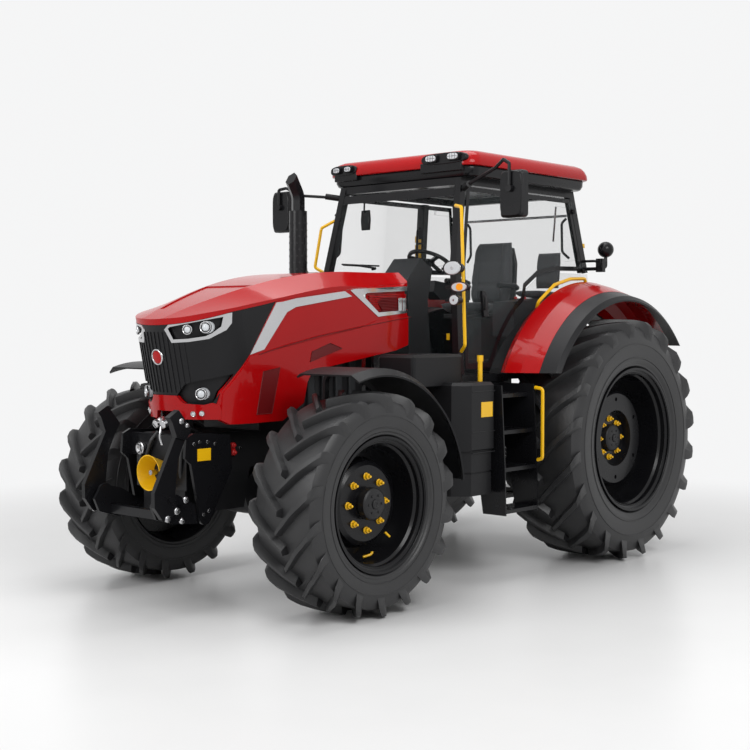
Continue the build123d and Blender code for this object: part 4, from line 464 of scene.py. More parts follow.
bezels = Kit("lamp_bezels", "hood", SILVER, "silver_trim", bevel=1)
lenses = Kit("lamp_lenses", "hood", LAMP, "lamp_glass")
cups = Kit("lamp_cups", "hood", DARK, "black_plastic")
for _, side in SIDES:
    for x, y, z, r in HEADLAMPS:
        at = facing((x, side * y, z), (math.cos(HEADLAMP_TURN), side * math.sin(HEADLAMP_TURN), 0))
        bezels.hollow(((-6, r), (9, r), (12, r - 3), (9, r - 8), (-2, r - 9)), at)
        cups.turned(((-6, r - 8), (3, r - 8), (5, r * 0.62)), at)
        lenses.turned(((2, r * 0.62), (6, r * 0.6), (10, r * 0.45), (12, r * 0.2), (12.5, 1)), at)
    for (x, y, z), (ahead, out, up) in BUMPER_LAMPS:
        at = facing((x, side * y, z), (ahead, out * side, up))
        bezels.hollow(((-4, 19), (7, 19), (8, 17), (6, 13), (-2, 13)), at)
        lenses.turned(((-3, 13), (4, 12.5), (7, 8), (8, 1)), at)
bezels.done()
lenses.done()
cups.done()

roundel_at = facing((4008, 0, 1778), (0.98, 0, -0.19), (0, 1, 0))
roundel_ring = Kit("roundel_ring", "hood", SILVER, "silver_trim")
roundel_ring.hollow(((-8, 58), (8, 58), (11, 55), (11, 49), (7, 46), (-8, 46)), roundel_at, 48)
roundel_ring.done()
roundel = Kit("roundel_disc", "hood", RED, "red_paint")
roundel.turned(((-8, 47), (6, 47), (8, 40), (8.5, 1)), roundel_at, 48)
roundel.done()

# ---------------------------------------------------------------- hood side vents
SLAT_COUNT = 9
VENT_TOP = 2206
VENT_HEIGHT = 95                                              # from top to bottom slat
VENT_TAB = ((-18, 2112), (22, 2106), (22, 2208), (-18, 2214))      # (ahead, up) of a silver tab

# slats in the darker red, painted shade between the louvres
slats = Kit("vent_slats", "hood", SHADED_RED, "red_paint")
ends = Kit("vent_ends", "hood", SILVER, "silver_trim", bevel=1)
for _, side in SIDES:
    for i in range(SLAT_COUNT):
        t = i / (SLAT_COUNT - 1)
        z = VENT_TOP - VENT_HEIGHT * t
        front_end = (2225 - 60 * t, side * (433 + 24 * t), z)
        slats.pipe((front_end, (2010, side * (470 + 6 * t), z + 8)), 5, 6, soft=False)
    for x in (1975, 1925):
        ends.skin([[mm(x + dx, side * y, z) for dx, z in VENT_TAB] for y in (470, 479)])
slats.done()
ends.done()

# ---------------------------------------------------------------- front linkage fittings
PLATE_FACE, FRAME_FACE = 356, 225                             # distances from the tractor's middle
# (ahead, up) of bolts; pins with their radius and the face that they stand on
PLATE_BOLTS = ((3990, 1190), (3940, 1200), (3868, 1196), (3800, 1180), (3860, 720), (3905, 700))
FRAME_BOLTS = ((3640, 1180), (3640, 1120), (3560, 1180), (3560, 1060), (3450, 1120), (3700, 1180))
LINK_HEAD_FACE, LINK_FOOT_FACE = 414, 400
LINK_PINS = ((4147, 1357, 20, LINK_HEAD_FACE), (4098, 1325, 16, LINK_HEAD_FACE),
             (4178, 755, 24, LINK_FOOT_FACE), (4135, 685, 20, LINK_FOOT_FACE),
             (4258, 710, 22, LINK_FOOT_FACE), (4102, 823, 22, LINK_FOOT_FACE))
HOSE_CAPS = ((3524, 1144), (3518, 1090))
SHAFT_END = facing((4002, -200, 1130), (1, 0, 0))
COUPLING_TILT = (1, 0, -0.3)

for hand, side in SIDES:
    pins = Kit(f"link_pins_{hand}", f"front_link_{hand}", STEEL, "steel", bevel=1)
    for x, z, r, face in LINK_PINS:
        at = outboard(x, face, z, side)
        pins.turned(((-6, r), (5, r), (8, r * 0.8)), at)
        pins.prism(hexagon(r * 0.62), 6, 15, at)
    pins.done()

caps = Kit("hose_caps", "chassis", RED_RUBBER, "red_paint", bevel=1)
for x, z in HOSE_CAPS:
    caps.turned(((-4, 20), (22, 20), (26, 14), (34, 12), (38, 6)), outboard(x, FRAME_FACE, z, 1))
caps.block((3505, FRAME_FACE, 1080), (3535, 240, 1150))
caps.done()

bolts = Kit("linkage_bolts", "chassis", STEEL, "steel", bevel=1)
for _, side in SIDES:
    for x, z in PLATE_BOLTS:
        bolts.prism(hexagon(13), -2, 5, outboard(x, PLATE_FACE, z, side))
    for x, z in FRAME_BOLTS:
        bolts.prism(hexagon(12), -2, 9, outboard(x, FRAME_FACE, z, side))
bolts.done()

couplers = Kit("couplings", "chassis", SILVER, "silver_trim", bevel=1)
couplers.pipe(((3935, 100, 1330), (3990, 100, 1345), (4040, 110, 1320)), 22)
couplers.pipe(((3935, 20, 1330), (3995, 25, 1350), (4040, 30, 1318)), 20)
couplers.turned(((0, 30), (26, 30), (30, 24)), facing((4036, 110, 1322), COUPLING_TILT))
couplers.turned(((0, 28), (26, 28), (30, 20)), facing((4036, 30, 1320), COUPLING_TILT))
couplers.pipe(((4030, 60, 1300), (4046, 62, 1220), (4030, 70, 1170)), 10)
couplers.hollow(((-14, 44), (14, 44), (18, 38), (14, 26), (-14, 26)), SHAFT_END)
couplers.turned(((-30, 27), (8, 27), (12, 8)), SHAFT_END)
couplers.done()

# ---------------------------------------------------------------- hoses at the linkage
HOSE_RADIUS = 13
HOSES = (
    ((3700, 140, 1220), (3880, 130, 1300), (3940, 100, 1330)),
    ((3700, 60, 1220), (3860, 30, 1290), (3940, 20, 1330)),
    ((3960, -60, 1250), (4010, -80, 1190), (4000, -140, 1080), (3900, -180, 1000)),
    ((3960, 250, 1230), (4000, 235, 1120), (3990, 210, 980), (3930, 190, 860)),
    ((3780, -225, 1150), (3850, -260, 1060), (3980, -230, 1000), (4000, -200, 1120)),
)

hoses = Kit("hoses", "chassis", RUBBER, "black_plastic")
for route in HOSES:
    hoses.pipe(route, HOSE_RADIUS)
hoses.done()

# ---------------------------------------------------------------- rear work lamp and door latch
LAMP_HEAD = 72                                                # radius of the round head
HEAD_STEPS = 12

work_lamp = Kit("rear_work_lamp", "chassis", BLACK, "black_paint", bevel=2)
work_lamp.pipe(((-255, 690, 2500), (-270, 905, 2500), (-345, 905, 2520), (-350, 900, 2620)), 16)
work_lamp.pipe(((-255, 690, 2570), (-275, 850, 2570), (-275, 905, 2520)), 12)
work_lamp.block((-300, 860, 2470), (-250, 930, 2590))
angles = [i * math.pi / HEAD_STEPS for i in range(HEAD_STEPS + 1)]
work_lamp.turned([(-LAMP_HEAD * math.cos(a), LAMP_HEAD * math.sin(a)) for a in angles],
                 facing((-350, 900, 2672), (-1, 0.2, 0)), 28)
work_lamp.done()

GLASS_LEAN = 0.09                                             # of the side glass, in per height
latch = Kit("door_latch", "door_left", BLACK, "black_paint", bevel=2)
latch.prism(((-34, -105), (34, -105), (34, 60), (14, 105), (-34, 105)), 0, 26,
            facing((1262, 752, 2170), (0, 1, GLASS_LEAN), (-1, 0, 0)))
latch.pipe(((1290, 790, 2240), (1290, 796, 2120)), 11)
latch.done()

# ---------------------------------------------------------------- wiper, inner mirror, rear window
wiper = Kit("wiper", "chassis", BLACK, "black_paint")
wiper.pipe(((1600, -135, 2462), (1606, -135, 2478)), 22)
wiper.pipe(((1606, -135, 2476), (1606, -300, 2500), (1606, -480, 2512)), 9)
wiper.pipe(((1600, -79, 2491), (1600, -502, 2517)), 7)
wiper.done()

inside = Kit("cab_inside_trim", "chassis", PLASTIC, "black_plastic", bevel=3)
inside.prism(((-50, -85), (50, -85), (60, 0), (50, 85), (-50, 85), (-60, 0)), 0, 22,
             facing((1400, -420, 2900), (-1, 0.2, 0), (0, 1, 0)))
inside.pipe(((1410, -420, 2960), (1400, -420, 3120)), 8)
inside.pipe(((1470, -700, 2960), (1400, -690, 2900), (1420, -700, 2620), (1500, -720, 2560)), 13)
inside.done()

rear_bar = Kit("rear_window_bar", "chassis", STEEL, "steel")
rear_bar.pipe(((-240, -560, 2985), (-240, 560, 2985)), 12)
rear_bar.pipe(((-120, 520, 3060), (-230, 420, 2760)), 9)
rear_bar.done()

grips = Kit("rear_window_grips", "chassis", BLACK, "black_paint")
for _, side in SIDES:
    grips.pipe(((-230, side * 560, 2960), (-215, side * 520, 2920), (-225, side * 520, 2660),
                (-250, side * 580, 2600)), 12)
grips.done()

# ---------------------------------------------------------------- yellow labels and blank plates
labels = Kit("pillar_labels", "chassis", YELLOW, "yellow_paint")
for z in (2800, 2720, 2640):
    for y in (-742, -700):
        labels.block((322, y - 16, z - 30), (325, y + 16, z + 30))
labels.block((1596, 640, 1880), (1599, 672, 1932))
labels.done()

# half length, half height, inner and outer face along the way it faces, place, way it faces
BLANK_PLATES = ((60, 42, 0, 3, (3900, PLATE_FACE, 1112), (0, 1, 0)),
                (72, 58, 0, 3, (1700, 1120, 1350), (0, 1, 0)),
                (30, 20, -7, -3, (-292, 700, 2712), (0, 1, GLASS_LEAN)))
plates = Kit("blank_plates", "chassis", YELLOW, "yellow_paint")
for half_u, half_v, back, face, place, way in BLANK_PLATES:
    plates.prism(rectangle(-half_u, -half_v, half_u, half_v), back, face,
                 facing(place, way, (-1, 0, 0)))
plates.done()

# ---------------------------------------------------------------- hatch frame, treads, exhaust slots
HATCH_X, HATCH_Y, HATCH_Z = (1040, 1200), (-420, -80), 3417
hatch = Kit("roof_hatch_frame", "chassis", SILVER, "silver_trim", bevel=2)
corner = (HATCH_X[1], HATCH_Y[1], HATCH_Z)
hatch.pipe(((HATCH_X[1], HATCH_Y[1], 3400), corner, (HATCH_X[1], HATCH_Y[0], HATCH_Z),
            (HATCH_X[0], HATCH_Y[0], HATCH_Z), (HATCH_X[0], HATCH_Y[1], HATCH_Z), corner), 6)
hatch.done()

# height, inner edge, outer edge
STEP_TREADS = ((545, 990, 1205), (872, 930, 1190), (1160, 820, 1150), (1443, 820, 1100))
TOOTH_COUNT, TOOTH_PITCH, TOOTH_END = 18, 24, 5               # end: left free at each end of a tooth
teeth = Kit("tread_teeth", "chassis", BLACK, "black_paint")
for z, inner, outer in STEP_TREADS:
    for i in range(TOOTH_COUNT):
        at = facing((1150 + i * TOOTH_PITCH, inner + TOOTH_END, z), (0, 1, 0), (1, 0, 0))
        teeth.prism(((-5, 0), (5, 0), (0, 7)), 0, outer - inner - 2 * TOOTH_END, at)
teeth.done()

GUARD_X, GUARD_Y, GUARD_RADIUS, GUARD_Z = 1930, -700, 76, 1700       # exhaust guard, from its foot
SLOT_ROWS, SLOT_COLUMNS, SLOT_PITCH = 22, 10, 55
slots = Kit("exhaust_slots", "chassis", IRON, "grey_iron")
for row in range(SLOT_ROWS):
    for column in range(SLOT_COLUMNS):
        a = math.tau * (column + (row % 2) / 2) / SLOT_COLUMNS
        ahead, left = math.cos(a), math.sin(a)
        place = (GUARD_X + GUARD_RADIUS * ahead, GUARD_Y + GUARD_RADIUS * left,
                 GUARD_Z + row * SLOT_PITCH)
        slots.prism(around(8, 9), -2, 1.2, facing(place, (ahead, left, 0)))
slots.done()

# ---------------------------------------------------------------- lamp lenses on the cab
POD_DEPTH = 34                                                # from a lamp's middle to its face
# place, half width, half height, 1 for ahead or -1 for back
WHITE_LAMPS = ((1480, 402, 3348, 62, 30, 1), (1480, 628, 3352, 62, 30, 1),
               (1480, -520, 3335, 40, 26, 1), (1480, -650, 3332, 40, 26, 1),
               (-235, 640, 3250, 55, 30, -1), (-235, -640, 3250, 55, 30, -1))
AMBER_LAMPS = ((-390, 510, 1950, 70, 45, -1), (-390, -510, 1950, 70, 45, -1))
# place, half width, half height, and whether it is the indicator
ROAD_LAMPS = ((1790, 850, 2442, 98, 60, False), (1760, 893, 2295, 92, 42, True),
              (1770, 850, 2194, 52, 46, False))
HALF_LINE = 1.5                                               # of the dark lines on a lens

white = Kit("cab_lenses", "chassis", LAMP, "lamp_glass", bevel=2)
rims = Kit("cab_lens_rims", "chassis", SILVER, "silver_trim", bevel=1)
amber = Kit("cab_indicators", "chassis", AMBER, "lamp_glass", bevel=2)
grid = Kit("cab_lens_grids", "chassis", DARK, "black_plastic")


def lens_with_grid(kit, x, y, z, half_y, half_z, way):
    """Rounded lens with three upright lines and one level line."""
    at = facing((x + way * POD_DEPTH, y, z), (way, 0, 0), (0, 1, 0))
    kit.prism(squircle(half_y * 0.84, half_z * 0.78), -3, 4, at)
    for share in (-0.42, 0, 0.42):
        u = share * half_y
        grid.prism(rectangle(u - HALF_LINE, -half_z * 0.7, u + HALF_LINE, half_z * 0.7), 3, 5, at)
    grid.prism(rectangle(-half_y * 0.78, -HALF_LINE, half_y * 0.78, HALF_LINE), 3, 5, at)


def road_lens(x, y, z, half_y, half_z, indicator, side):
    """Rounded lens in a silver rim, with an amber bulb or a silver middle."""
    at = facing((x, side * y, z), (1, 0, 0), (0, 1, 0))
    rims.prism(squircle(half_y * 0.84, half_z * 0.86, 2.1), -6, 3, at)
    white.prism(squircle(half_y * 0.76, half_z * 0.76, 2.1), -6, 6, at)
    if indicator:
        bulb = squircle(half_y * 0.46, half_z * 0.66, 2.2)
        amber.prism([(u * 0.8 + side * 8, v) for u, v in bulb], 0, 9, at)
    else:
        rims.prism(squircle(half_y * 0.16, half_z * 0.22, 2.0), 0, 8, at)


for lamp in WHITE_LAMPS:
    lens_with_grid(white, *lamp)
for lamp in AMBER_LAMPS:
    lens_with_grid(amber, *lamp)
for _, side in SIDES:
    for lamp in ROAD_LAMPS:
        road_lens(*lamp, side)
for kit in (white, rims, amber, grid):
    kit.done()

# ---------------------------------------------------------------- roof: cap, under-trim, lamp pods
ROOF_BACK, ROOF_FRONT, ROOF_HALF, ROOF_CORNER = -290, 1484, 800, 130
ROOF_PROFILE = ((3286, 34), (3280, 22), (3278, 10), (3283, 2), (3295, 0), (3325, 4),
                (3358, 18), (3386, 40), (3404, 76), (3415, 150), (3421, 280), (3424, 460))  # up, in
TRIM_BACK, TRIM_FRONT, TRIM_HALF, TRIM_CORNER = -250, 1452, 770, 110
TRIM_PROFILE = ((3192, 26), (3200, 14), (3228, 2), (3270, 0), (3292, 6))                    # up, in

roof = Kit("roof_cap", "chassis", RED, "red_paint", smooth=35)
roof.skin([oblong(ROOF_BACK + i, ROOF_FRONT - i, ROOF_HALF - i, max(ROOF_CORNER - i * 0.3, 60), z)
           for z, i in ROOF_PROFILE])
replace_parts(roof.done(), "roof_shell")
trim = Kit("roof_trim", "chassis", BLACK, "black_paint", bevel=3)
trim.skin([oblong(TRIM_BACK + i, TRIM_FRONT - i, TRIM_HALF - i, TRIM_CORNER, z)
           for z, i in TRIM_PROFILE])
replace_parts(trim.done(), "roof_fascia")

pods = Kit("roof_pods", "chassis", BLACK, "black_paint", bevel=6)
for y, z, half_y, half_z in ((515, 3344, 232, 46), (-590, 3330, 150, 44)):
    pods.prism(squircle(half_y, half_z), -30, 12, facing((1478, y, z), (1, 0, 0.06), (0, 1, 0)))
pods.block((1380, 270, 3238), (1487, 700, 3318))
pods.block((1380, -700, 3238), (1484, -440, 3310))
pods.done()

# ---------------------------------------------------------------- black borders of the doors
ARCH_RADIUS = 1372                                            # of the door's edge over the wheel
DOOR = [(1562, 1650), (1515, 2470), (1378, 3120), (-113, 3120),
        (-238, 2480), (200, 2470), (450, 2430), (650, 2320)]
DOOR += [(ARCH_RADIUS * math.cos(math.radians(a)),
          WHEELS["rear"].radius + ARCH_RADIUS * math.sin(math.radians(a)))
         for a in (60, 54, 48, 42, 36, 30, 27.3)]
MARGIN, BORDER = 3, 42                                        # in from the door's edge: start, end
BORDER_BACK, BORDER_FACE = 0.4, 4                             # proud of the glass
GLASS_Y, GLASS_Z = 660, 3200                                  # out and up, of a line on the glass


def inset(outline, by):
    """The outline moved inward, corner by corner."""
    moved = []
    for before, here, after in zip(outline[-1:] + outline, outline, outline[1:] + outline[:1]):
        a = (Vector(here) - Vector(before)).normalized()
        b = (Vector(after) - Vector(here)).normalized()
        normal = Vector((-a.y - b.y, a.x + b.x)).normalized()
        moved.append(Vector(here) + normal * by / max(normal.dot(Vector((-a.y, a.x))), 0.5))
    return moved


def on_glass(outline, side, proud):
    """An outline of (x, z) as points just outside the leaning side glass."""
    return [mm(x, side * (GLASS_Y + (GLASS_Z - z) * GLASS_LEAN + proud), z) for x, z in outline]


for hand, side in SIDES:
    edge, opening = inset(DOOR, MARGIN), inset(DOOR, BORDER)
    border = Kit(f"door_border_{hand}", f"door_{hand}", BLACK, "black_paint")
    border.loop([on_glass(edge, side, BORDER_BACK), on_glass(edge, side, BORDER_FACE),
                 on_glass(opening, side, BORDER_FACE), on_glass(opening, side, BORDER_BACK)])
    border.done()

# ---------------------------------------------------------------- inner pillar
posts = Kit("inner_posts", "chassis", PLASTIC, "black_plastic", bevel=4)
posts.skin([[mm(x, y, z) for x, y in rectangle(250 - dx, -770 + dy, 320 - dx, -690 + dy)]
            for z, dx, dy in ((2480, 0, 0), (3120, -10, 50))])
posts.pipe(((330, -700, 2900), (370, -690, 2880), (370, -700, 2640), (330, -720, 2610)), 12)
posts.done()

# ---------------------------------------------------------------- seats
PAD_COLUMNS, PAD_ROWS = 28, 30
EDGE_ROLL = 0.7                # radius of a pad's rounded edge, as a share of its thickness
BACK_SHARE = 0.35              # depth of a pad's back, as a share of its front
CROWN, CROWN_WIDTH = 0.12, 1.4
GROOVE_DEPTH, GROOVE_WIDTH = 16, 9
BOLSTER_FROM, BOLSTER_SPAN = 0.55, 0.45      # of a side bolster, as shares of the half width
WAIST = 0.03                   # share that a pad narrows half way up
WELD = 0.0004                  # metres; the front and back meet within this


def rolled(distance, thick):
    """Share of the full depth at a distance from a pad's edge."""
    near = min(distance / (thick * EDGE_ROLL), 1)
    return math.sqrt(max(0.0, 1 - (1 - near) ** 2))


def half_width(widths, v):
    """Half width at share v of the length, eased from one given width to the next."""
    spot = v * (len(widths) - 1)
    k = min(int(spot), len(widths) - 2)
    blend = (1 - math.cos(math.pi * (spot - k))) / 2
    return widths[k] * (1 - blend) + widths[k + 1] * blend


def groove(distance):
    """Depth of a sewn line at a distance from it."""
    return GROOVE_DEPTH * math.exp(-(distance / GROOVE_WIDTH) ** 2)


def pad(name, at, widths, length, thick, seams=(), channels=(), bolster=0.0, node=None):
    """Crowned cushion: half widths from low to high, seams across and channels along at shares."""
    kit = Kit(name, "chassis", FABRIC, "seat_fabric", smooth=180)

    def depth_at(u, v, half, front):
        round_u = rolled((1 - abs(u)) * half, thick)
        round_v = rolled(min(v, 1 - v) * length, thick)
        crown = 1 + CROWN * math.cos(u * CROWN_WIDTH) * math.sin(math.pi * v)
        depth = thick / 2 * round_u * round_v * crown
        if not front:
            return -depth * BACK_SHARE
        depth += bolster * max(0.0, abs(u) - BOLSTER_FROM) / BOLSTER_SPAN * round_u * round_v
        for seam in seams:
            depth -= groove((v - seam) * length) * round_u
        for line in channels:
            depth -= groove((abs(u) - line) * half) * round_v
        return depth

    for front in (True, False):
        points = []
        for r in range(PAD_ROWS + 1):
            v = r / PAD_ROWS
            half = half_width(widths, v)
            pull = 1 - WAIST * math.sin(math.pi * v)
            row = []
            for c in range(PAD_COLUMNS + 1):
                u = c / PAD_COLUMNS * 2 - 1
                depth = depth_at(u, v, half, front)
                spot = Vector((u * half * pull / 1000, v * length / 1000, depth / 1000))
                row.append(kit.mesh.verts.new(at @ spot))
            points.append(row)
        for low, high in zip(points, points[1:]):
            for c in range(PAD_COLUMNS):
                quad = [low[c], low[c + 1], high[c + 1], high[c]]
                kit.mesh.faces.new(quad if front else quad[::-1])
    bmesh.ops.remove_doubles(kit.mesh, verts=kit.mesh.verts, dist=WELD)
    piece = kit.done()
    if node:
        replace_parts(piece, node)


def seat_frame(x, y, z, lean):
    """Frame of a pad: across the cab, up along the lean in degrees, out towards the front."""
    up = Vector((-math.sin(math.radians(lean)), 0, math.cos(math.radians(lean))))
    across = Vector((0, 1, 0))
    turn = Matrix((across, up, across.cross(up))).transposed().to_4x4()
    turn.translation = mm(x, y, z)
    return turn


pad("driver_back", seat_frame(150, 0, 2190, 7), (200, 218, 222, 214, 205, 182), 560, 110,
    seams=(0.30, 0.68), channels=(0.6,), bolster=34, node="operator_seat")
pad("driver_cushion", seat_frame(110, 0, 2150, -86), (215, 235, 245, 240), 480, 120,
    seams=(0.7,), channels=(0.62,), bolster=22)
pad("second_back", seat_frame(-110, 440, 2330, 6), (120, 128, 128, 118), 320, 66,
    seams=(0.5,), node="passenger_seat")
pad("second_cushion", seat_frame(-120, 440, 2280, -88), (130, 140, 140), 330, 80)

piping = Kit("seat_piping", "chassis", TRIM, "seat_fabric")
for _, side in SIDES:
    piping.pipe([(212 - 0.122 * (z - 2190), side * (128 + 0.02 * (z - 2190)), z)
                 for z in (2240, 2400, 2560)], 4, 6)
piping.done()

SHELL = 34                                                    # thickness behind the seat's back
shells = Kit("seat_shells", "chassis", PLASTIC, "black_plastic", bevel=6)
shells.skin([[mm(x, y, z) for x, y in rectangle(x0, -half, x0 + SHELL, half)]
             for z, x0, half in ((2120, 66, 200), (2300, 50, 215), (2560, 20, 205), (2700, 6, 160))])
shells.block((150, -225, 2058), (560, 225, 2100))
shells.pipe(((120, 270, 2330), (180, 285, 2350), (430, 285, 2350)), 26)
shells.pipe(((120, -275, 2380), (180, -285, 2400), (450, -285, 2400)), 26)
shells.done()

knobs = Kit("console_knobs", "chassis", RED_KNOB, "red_paint", bevel=1)
for x, y in ((300, 480), (360, 520), (420, 470)):
    knobs.turned(((0, 14), (18, 13), (22, 8)), facing((x, y, 2225), (0, 0, 1)))
knobs.done()

# ---------------------------------------------------------------- windscreen border
POST_BORDER = 46
SCREEN_EDGE = ((1628, 780, 1650), (1578, 705, 2470), (1450, 650, 3110))  # ahead, half width, up
SCREEN_BACK, SCREEN_FACE = 1, 4                               # ahead of the windscreen
screen = Kit("windscreen_border", "chassis", BLACK, "black_paint")
for _, side in SIDES:
    screen.skin([[mm(x + dx, side * y, z) for dx, y in
                  rectangle(SCREEN_BACK, half - POST_BORDER, SCREEN_FACE, half)]
                 for x, half, z in SCREEN_EDGE])
screen.skin([[mm(x + dx, y, z) for dx, y in rectangle(SCREEN_BACK, -640, SCREEN_FACE, 640)]
             for x, z in ((1464, 3040), (1450, 3110))])
screen.done()

# ---------------------------------------------------------------- tank seams and step chain
seams = Kit("tank_seams", "chassis", IRON, "grey_iron")
for z in (1180, 1020, 1490):
    seams.pipe(((1594, 1118, z), (1880, 1118, z)), 5, 6, soft=False)
seams.done()

CHAIN_LINKS, LINK_PITCH, LINK_RADIUS, WIRE = 6, 16, 10, 2.5
chain = Kit("step_chain", "chassis", STEEL, "steel")
for i in range(CHAIN_LINKS):
    chain.hollow([(u, LINK_RADIUS + v) for u, v in around(6, WIRE)],
                 facing((1146, 884 + 4 * (i % 2), 1010 - LINK_PITCH * i), (1, i % 2, 0)), 12)
chain.done()

# ---------------------------------------------------------------- mirrors
MIRROR_Y, MIRROR_Z = 1260, 3006
covers = Kit("mirror_covers", "chassis", BLACK, "black_paint", bevel=7)
glasses = Kit("mirror_glasses", "chassis", MIRROR, "steel", bevel=1)
for _, side in SIDES:
    covers.prism(squircle(100, 172, 5.0), -2, 9,
                 facing((1588, side * MIRROR_Y, MIRROR_Z), (1, 0, 0), (0, 1, 0)))
    glasses.prism(squircle(94, 166, 5.0), -1, 3,
                  facing((1512, side * MIRROR_Y, MIRROR_Z), (-1, 0, 0), (0, 1, 0)))
covers.done()
glasses.done()

# ---------------------------------------------------------------- engine dressing under the hood
CYLINDERS = 6
COVER_PITCH, RIB_PITCH = 120, 150
engine = Kit("engine_dressing", "chassis", GREY, "grey_plastic", bevel=8)
engine.block((2360, -125, 1955), (3120, 125, 2020))
for i in range(CYLINDERS):
    engine.block((2400 + i * COVER_PITCH, -100, 2015), (2450 + i * COVER_PITCH, 100, 2036))
for _, side in SIDES:
    for i in range(CYLINDERS):
        engine.block((2330 + i * RIB_PITCH, side * 312 - 14, 1330),
                     (2400 + i * RIB_PITCH, side * 312 + 14, 1880))
engine.done()

manifold = Kit("engine_pipes", "chassis", STEEL, "steel")
manifold.pipe(((2300, -230, 1960), (2300, -230, 2040), (3000, -230, 2040), (3180, -120, 2010),
               (3180, 0, 1955)), 34, 14)
manifold.pipe(((2420, 230, 1955), (2420, 230, 2010), (3100, 230, 2010), (3100, 230, 1955)), 26, 12)
manifold.done()

FIN_COUNT, FIN_PITCH, FIN = 26, 21, 8
cooler = Kit("radiator_fins", "chassis", IRON, "grey_iron")
for i in range(FIN_COUNT):
    y = -270 + i * FIN_PITCH
    cooler.block((3330, y, 1290), (3344, y + FIN, 1900))
cooler.done()

# ---------------------------------------------------------------- intakes and painted crease shade, hood sides
HOOD_SIDE = 463                                               # distance from the middle
INTAKES = (((3439, 1671), (3276, 1698), (3359, 1373), (3505, 1371)),
           ((2950, 1804), (2759, 1864), (2632, 1825), (2971, 1732)))
CREASE = ((3480, 1792), (3226, 1850), (2866, 1919), (2372, 1992), (1828, 2063))
# dark red sheets fill the intakes and dark red lines trace their edges and the crease: painted shade of the
# recesses and the ledge
intakes = Kit("side_intakes", "hood", SHADED_RED, "red_paint", bevel=1)
crease_shade = Kit("side_crease_shade", "hood", SHADED_RED, "red_paint")
for _, side in SIDES:
    for outline in INTAKES:
        intakes.skin([[mm(x, side * y, z) for x, z in outline]
                      for y in (HOOD_SIDE - 5, HOOD_SIDE + 0.5)])
        rim = [(x, side * HOOD_SIDE, z) for x, z in outline]
        crease_shade.pipe(rim + rim[:1], 4, 6, soft=False)
    crease_shade.pipe([(x, side * HOOD_SIDE, z) for x, z in CREASE], 3, 6, soft=False)
intakes.done()
crease_shade.done()

# ---------------------------------------------------------------- floor and backdrop, in metres
BACKDROP = (0.915, 0.917, 0.920)       # near-white, seen by camera, metal and glass
FLOOR_TONE = (0.70, 0.73)              # darkest and lightest of the floor near the object
FADE = (3.4, 7.5)                      # from the middle, where the floor becomes backdrop
FLOOR_SIZE = 120
FILL_STRENGTH = 0.52                   # of the world's even light


def sees_backdrop(tree):
    """1 for camera, glossy and transmission rays."""
    rays = tree.nodes.new("ShaderNodeLightPath")
    value = rays.outputs["Is Camera Ray"]
    for kind in ("Is Glossy Ray", "Is Transmission Ray"):
        most = tree.nodes.new("ShaderNodeMath")
        most.operation = "MAXIMUM"
        tree.links.new(value, most.inputs[0])
        tree.links.new(rays.outputs[kind], most.inputs[1])
        value = most.outputs["Value"]
    return value


def floor_material():
    """Pale satin floor that takes the shadow, and passes into the plain backdrop further off."""
    mat = bpy.data.materials.new("floor")
    mat.use_nodes = True
    tree = mat.node_tree
    put = tree.nodes.new
    join = tree.links.new
    shader = tree.nodes["Principled BSDF"]
    dial(shader, {"Roughness": 0.32, "Specular IOR Level": 0.35})
    place = put("ShaderNodeNewGeometry")
    speck = put("ShaderNodeTexNoise")
    dial(speck, {"Scale": 2.0})
    join(place.outputs["Position"], speck.inputs["Vector"])
    tone = put("ShaderNodeMapRange")
    dial(tone, {"To Min": FLOOR_TONE[0], "To Max": FLOOR_TONE[1]})
    join(speck.outputs["Fac"], tone.inputs["Value"])
    join(tone.outputs["Result"], shader.inputs["Base Color"])
    reach = put("ShaderNodeVectorMath")
    reach.operation = "LENGTH"
    join(place.outputs["Position"], reach.inputs[0])
    far = put("ShaderNodeMapRange")
    far.interpolation_type = "SMOOTHSTEP"
    dial(far, {"From Min": FADE[0], "From Max": FADE[1]})
    join(reach.outputs["Value"], far.inputs["Value"])
    share = put("ShaderNodeMath")
    share.operation = "MULTIPLY"
    join(far.outputs["Result"], share.inputs[0])
    join(sees_backdrop(tree), share.inputs[1])
    plain = put("ShaderNodeEmission")
    dial(plain, {"Color": (*BACKDROP, 1)})
    mix = put("ShaderNodeMixShader")
    join(share.outputs["Value"], mix.inputs["Fac"])
    join(shader.outputs["BSDF"], mix.inputs[1])
    join(plain.outputs["Emission"], mix.inputs[2])
    join(mix.outputs["Shader"], tree.nodes["Material Output"].inputs["Surface"])
    return mat


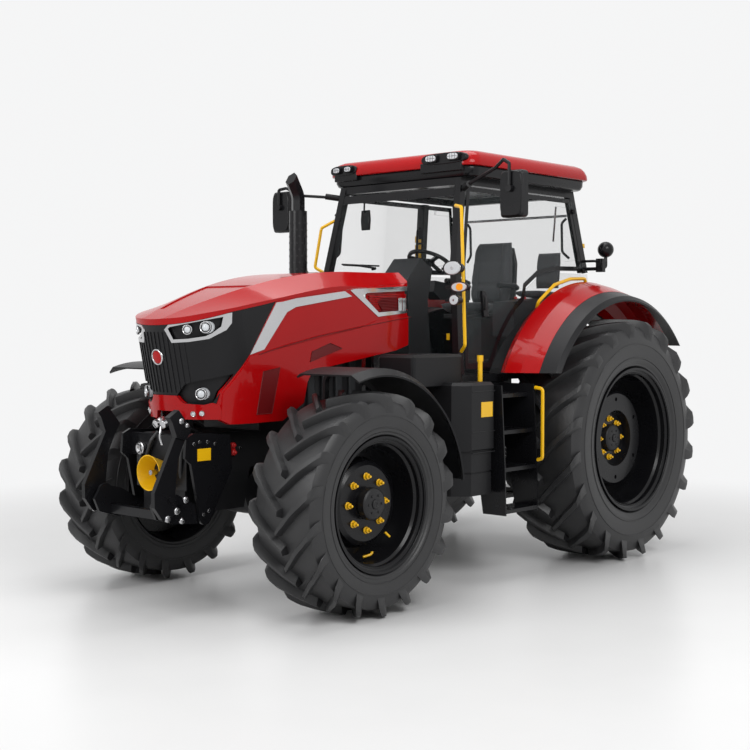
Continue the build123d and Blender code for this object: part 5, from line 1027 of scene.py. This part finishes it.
def studio_world():
    """Even white light on the object, with the plain backdrop wherever it is looked at."""
    world = bpy.data.worlds.new("studio")
    world.use_nodes = True
    tree = world.node_tree
    fill = tree.nodes["Background"]
    dial(fill, {"Color": (1, 1, 1, 1), "Strength": FILL_STRENGTH})
    seen = tree.nodes.new("ShaderNodeBackground")
    dial(seen, {"Color": (*BACKDROP, 1)})
    pick = tree.nodes.new("ShaderNodeMixShader")
    tree.links.new(sees_backdrop(tree), pick.inputs["Fac"])
    tree.links.new(fill.outputs["Background"], pick.inputs[1])
    tree.links.new(seen.outputs["Background"], pick.inputs[2])
    tree.links.new(pick.outputs["Shader"], tree.nodes["World Output"].inputs["Surface"])
    return world


bpy.ops.mesh.primitive_plane_add(size=FLOOR_SIZE)
floor = bpy.context.object
floor.name = "floor"
floor.data.materials.append(floor_material())
bpy.context.scene.world = studio_world()


# ---------------------------------------------------------------- lights and camera, in metres
def soft_box(name, at, aim, size, power):
    """Rectangular light at a place, aimed at a point; power in watts."""
    data = bpy.data.lights.new(name, "AREA")
    data.shape = "RECTANGLE"
    data.size, data.size_y = size
    data.energy = power
    lamp = bpy.data.objects.new(name, data)
    bpy.context.scene.collection.objects.link(lamp)
    lamp.location = at
    lamp.rotation_mode = "QUATERNION"
    lamp.rotation_quaternion = (Vector(aim) - Vector(at)).to_track_quat("-Z", "Y")


soft_box("key", (3.5, 8.0, 7.0), (0, 0, 1.2), (5, 4), 500)
soft_box("front", (9.0, -1.0, 5.0), (1.5, 0, 1.5), (4, 4), 300)
soft_box("top", (0.0, 0.0, 8.5), (0, 0, 0), (7, 4), 320)

EYE = (9.854 + REAR_X, 7.239, 2.003)
YAW, PITCH = math.radians(-138.266), math.radians(-2.188)
SENSOR_WIDTH, FOCAL_LENGTH = 36, 63.36                        # millimetres
camera_data = bpy.data.cameras.new("camera")
camera_data.sensor_width = SENSOR_WIDTH
camera_data.lens = FOCAL_LENGTH
camera = bpy.data.objects.new("camera", camera_data)
bpy.context.scene.collection.objects.link(camera)
camera.location = EYE
look = Vector((math.cos(YAW) * math.cos(PITCH), math.sin(YAW) * math.cos(PITCH), math.sin(PITCH)))
camera.rotation_mode = "QUATERNION"
camera.rotation_quaternion = look.to_track_quat("-Z", "Y")
bpy.context.scene.camera = camera
bpy.context.scene.view_settings.view_transform = "Standard"
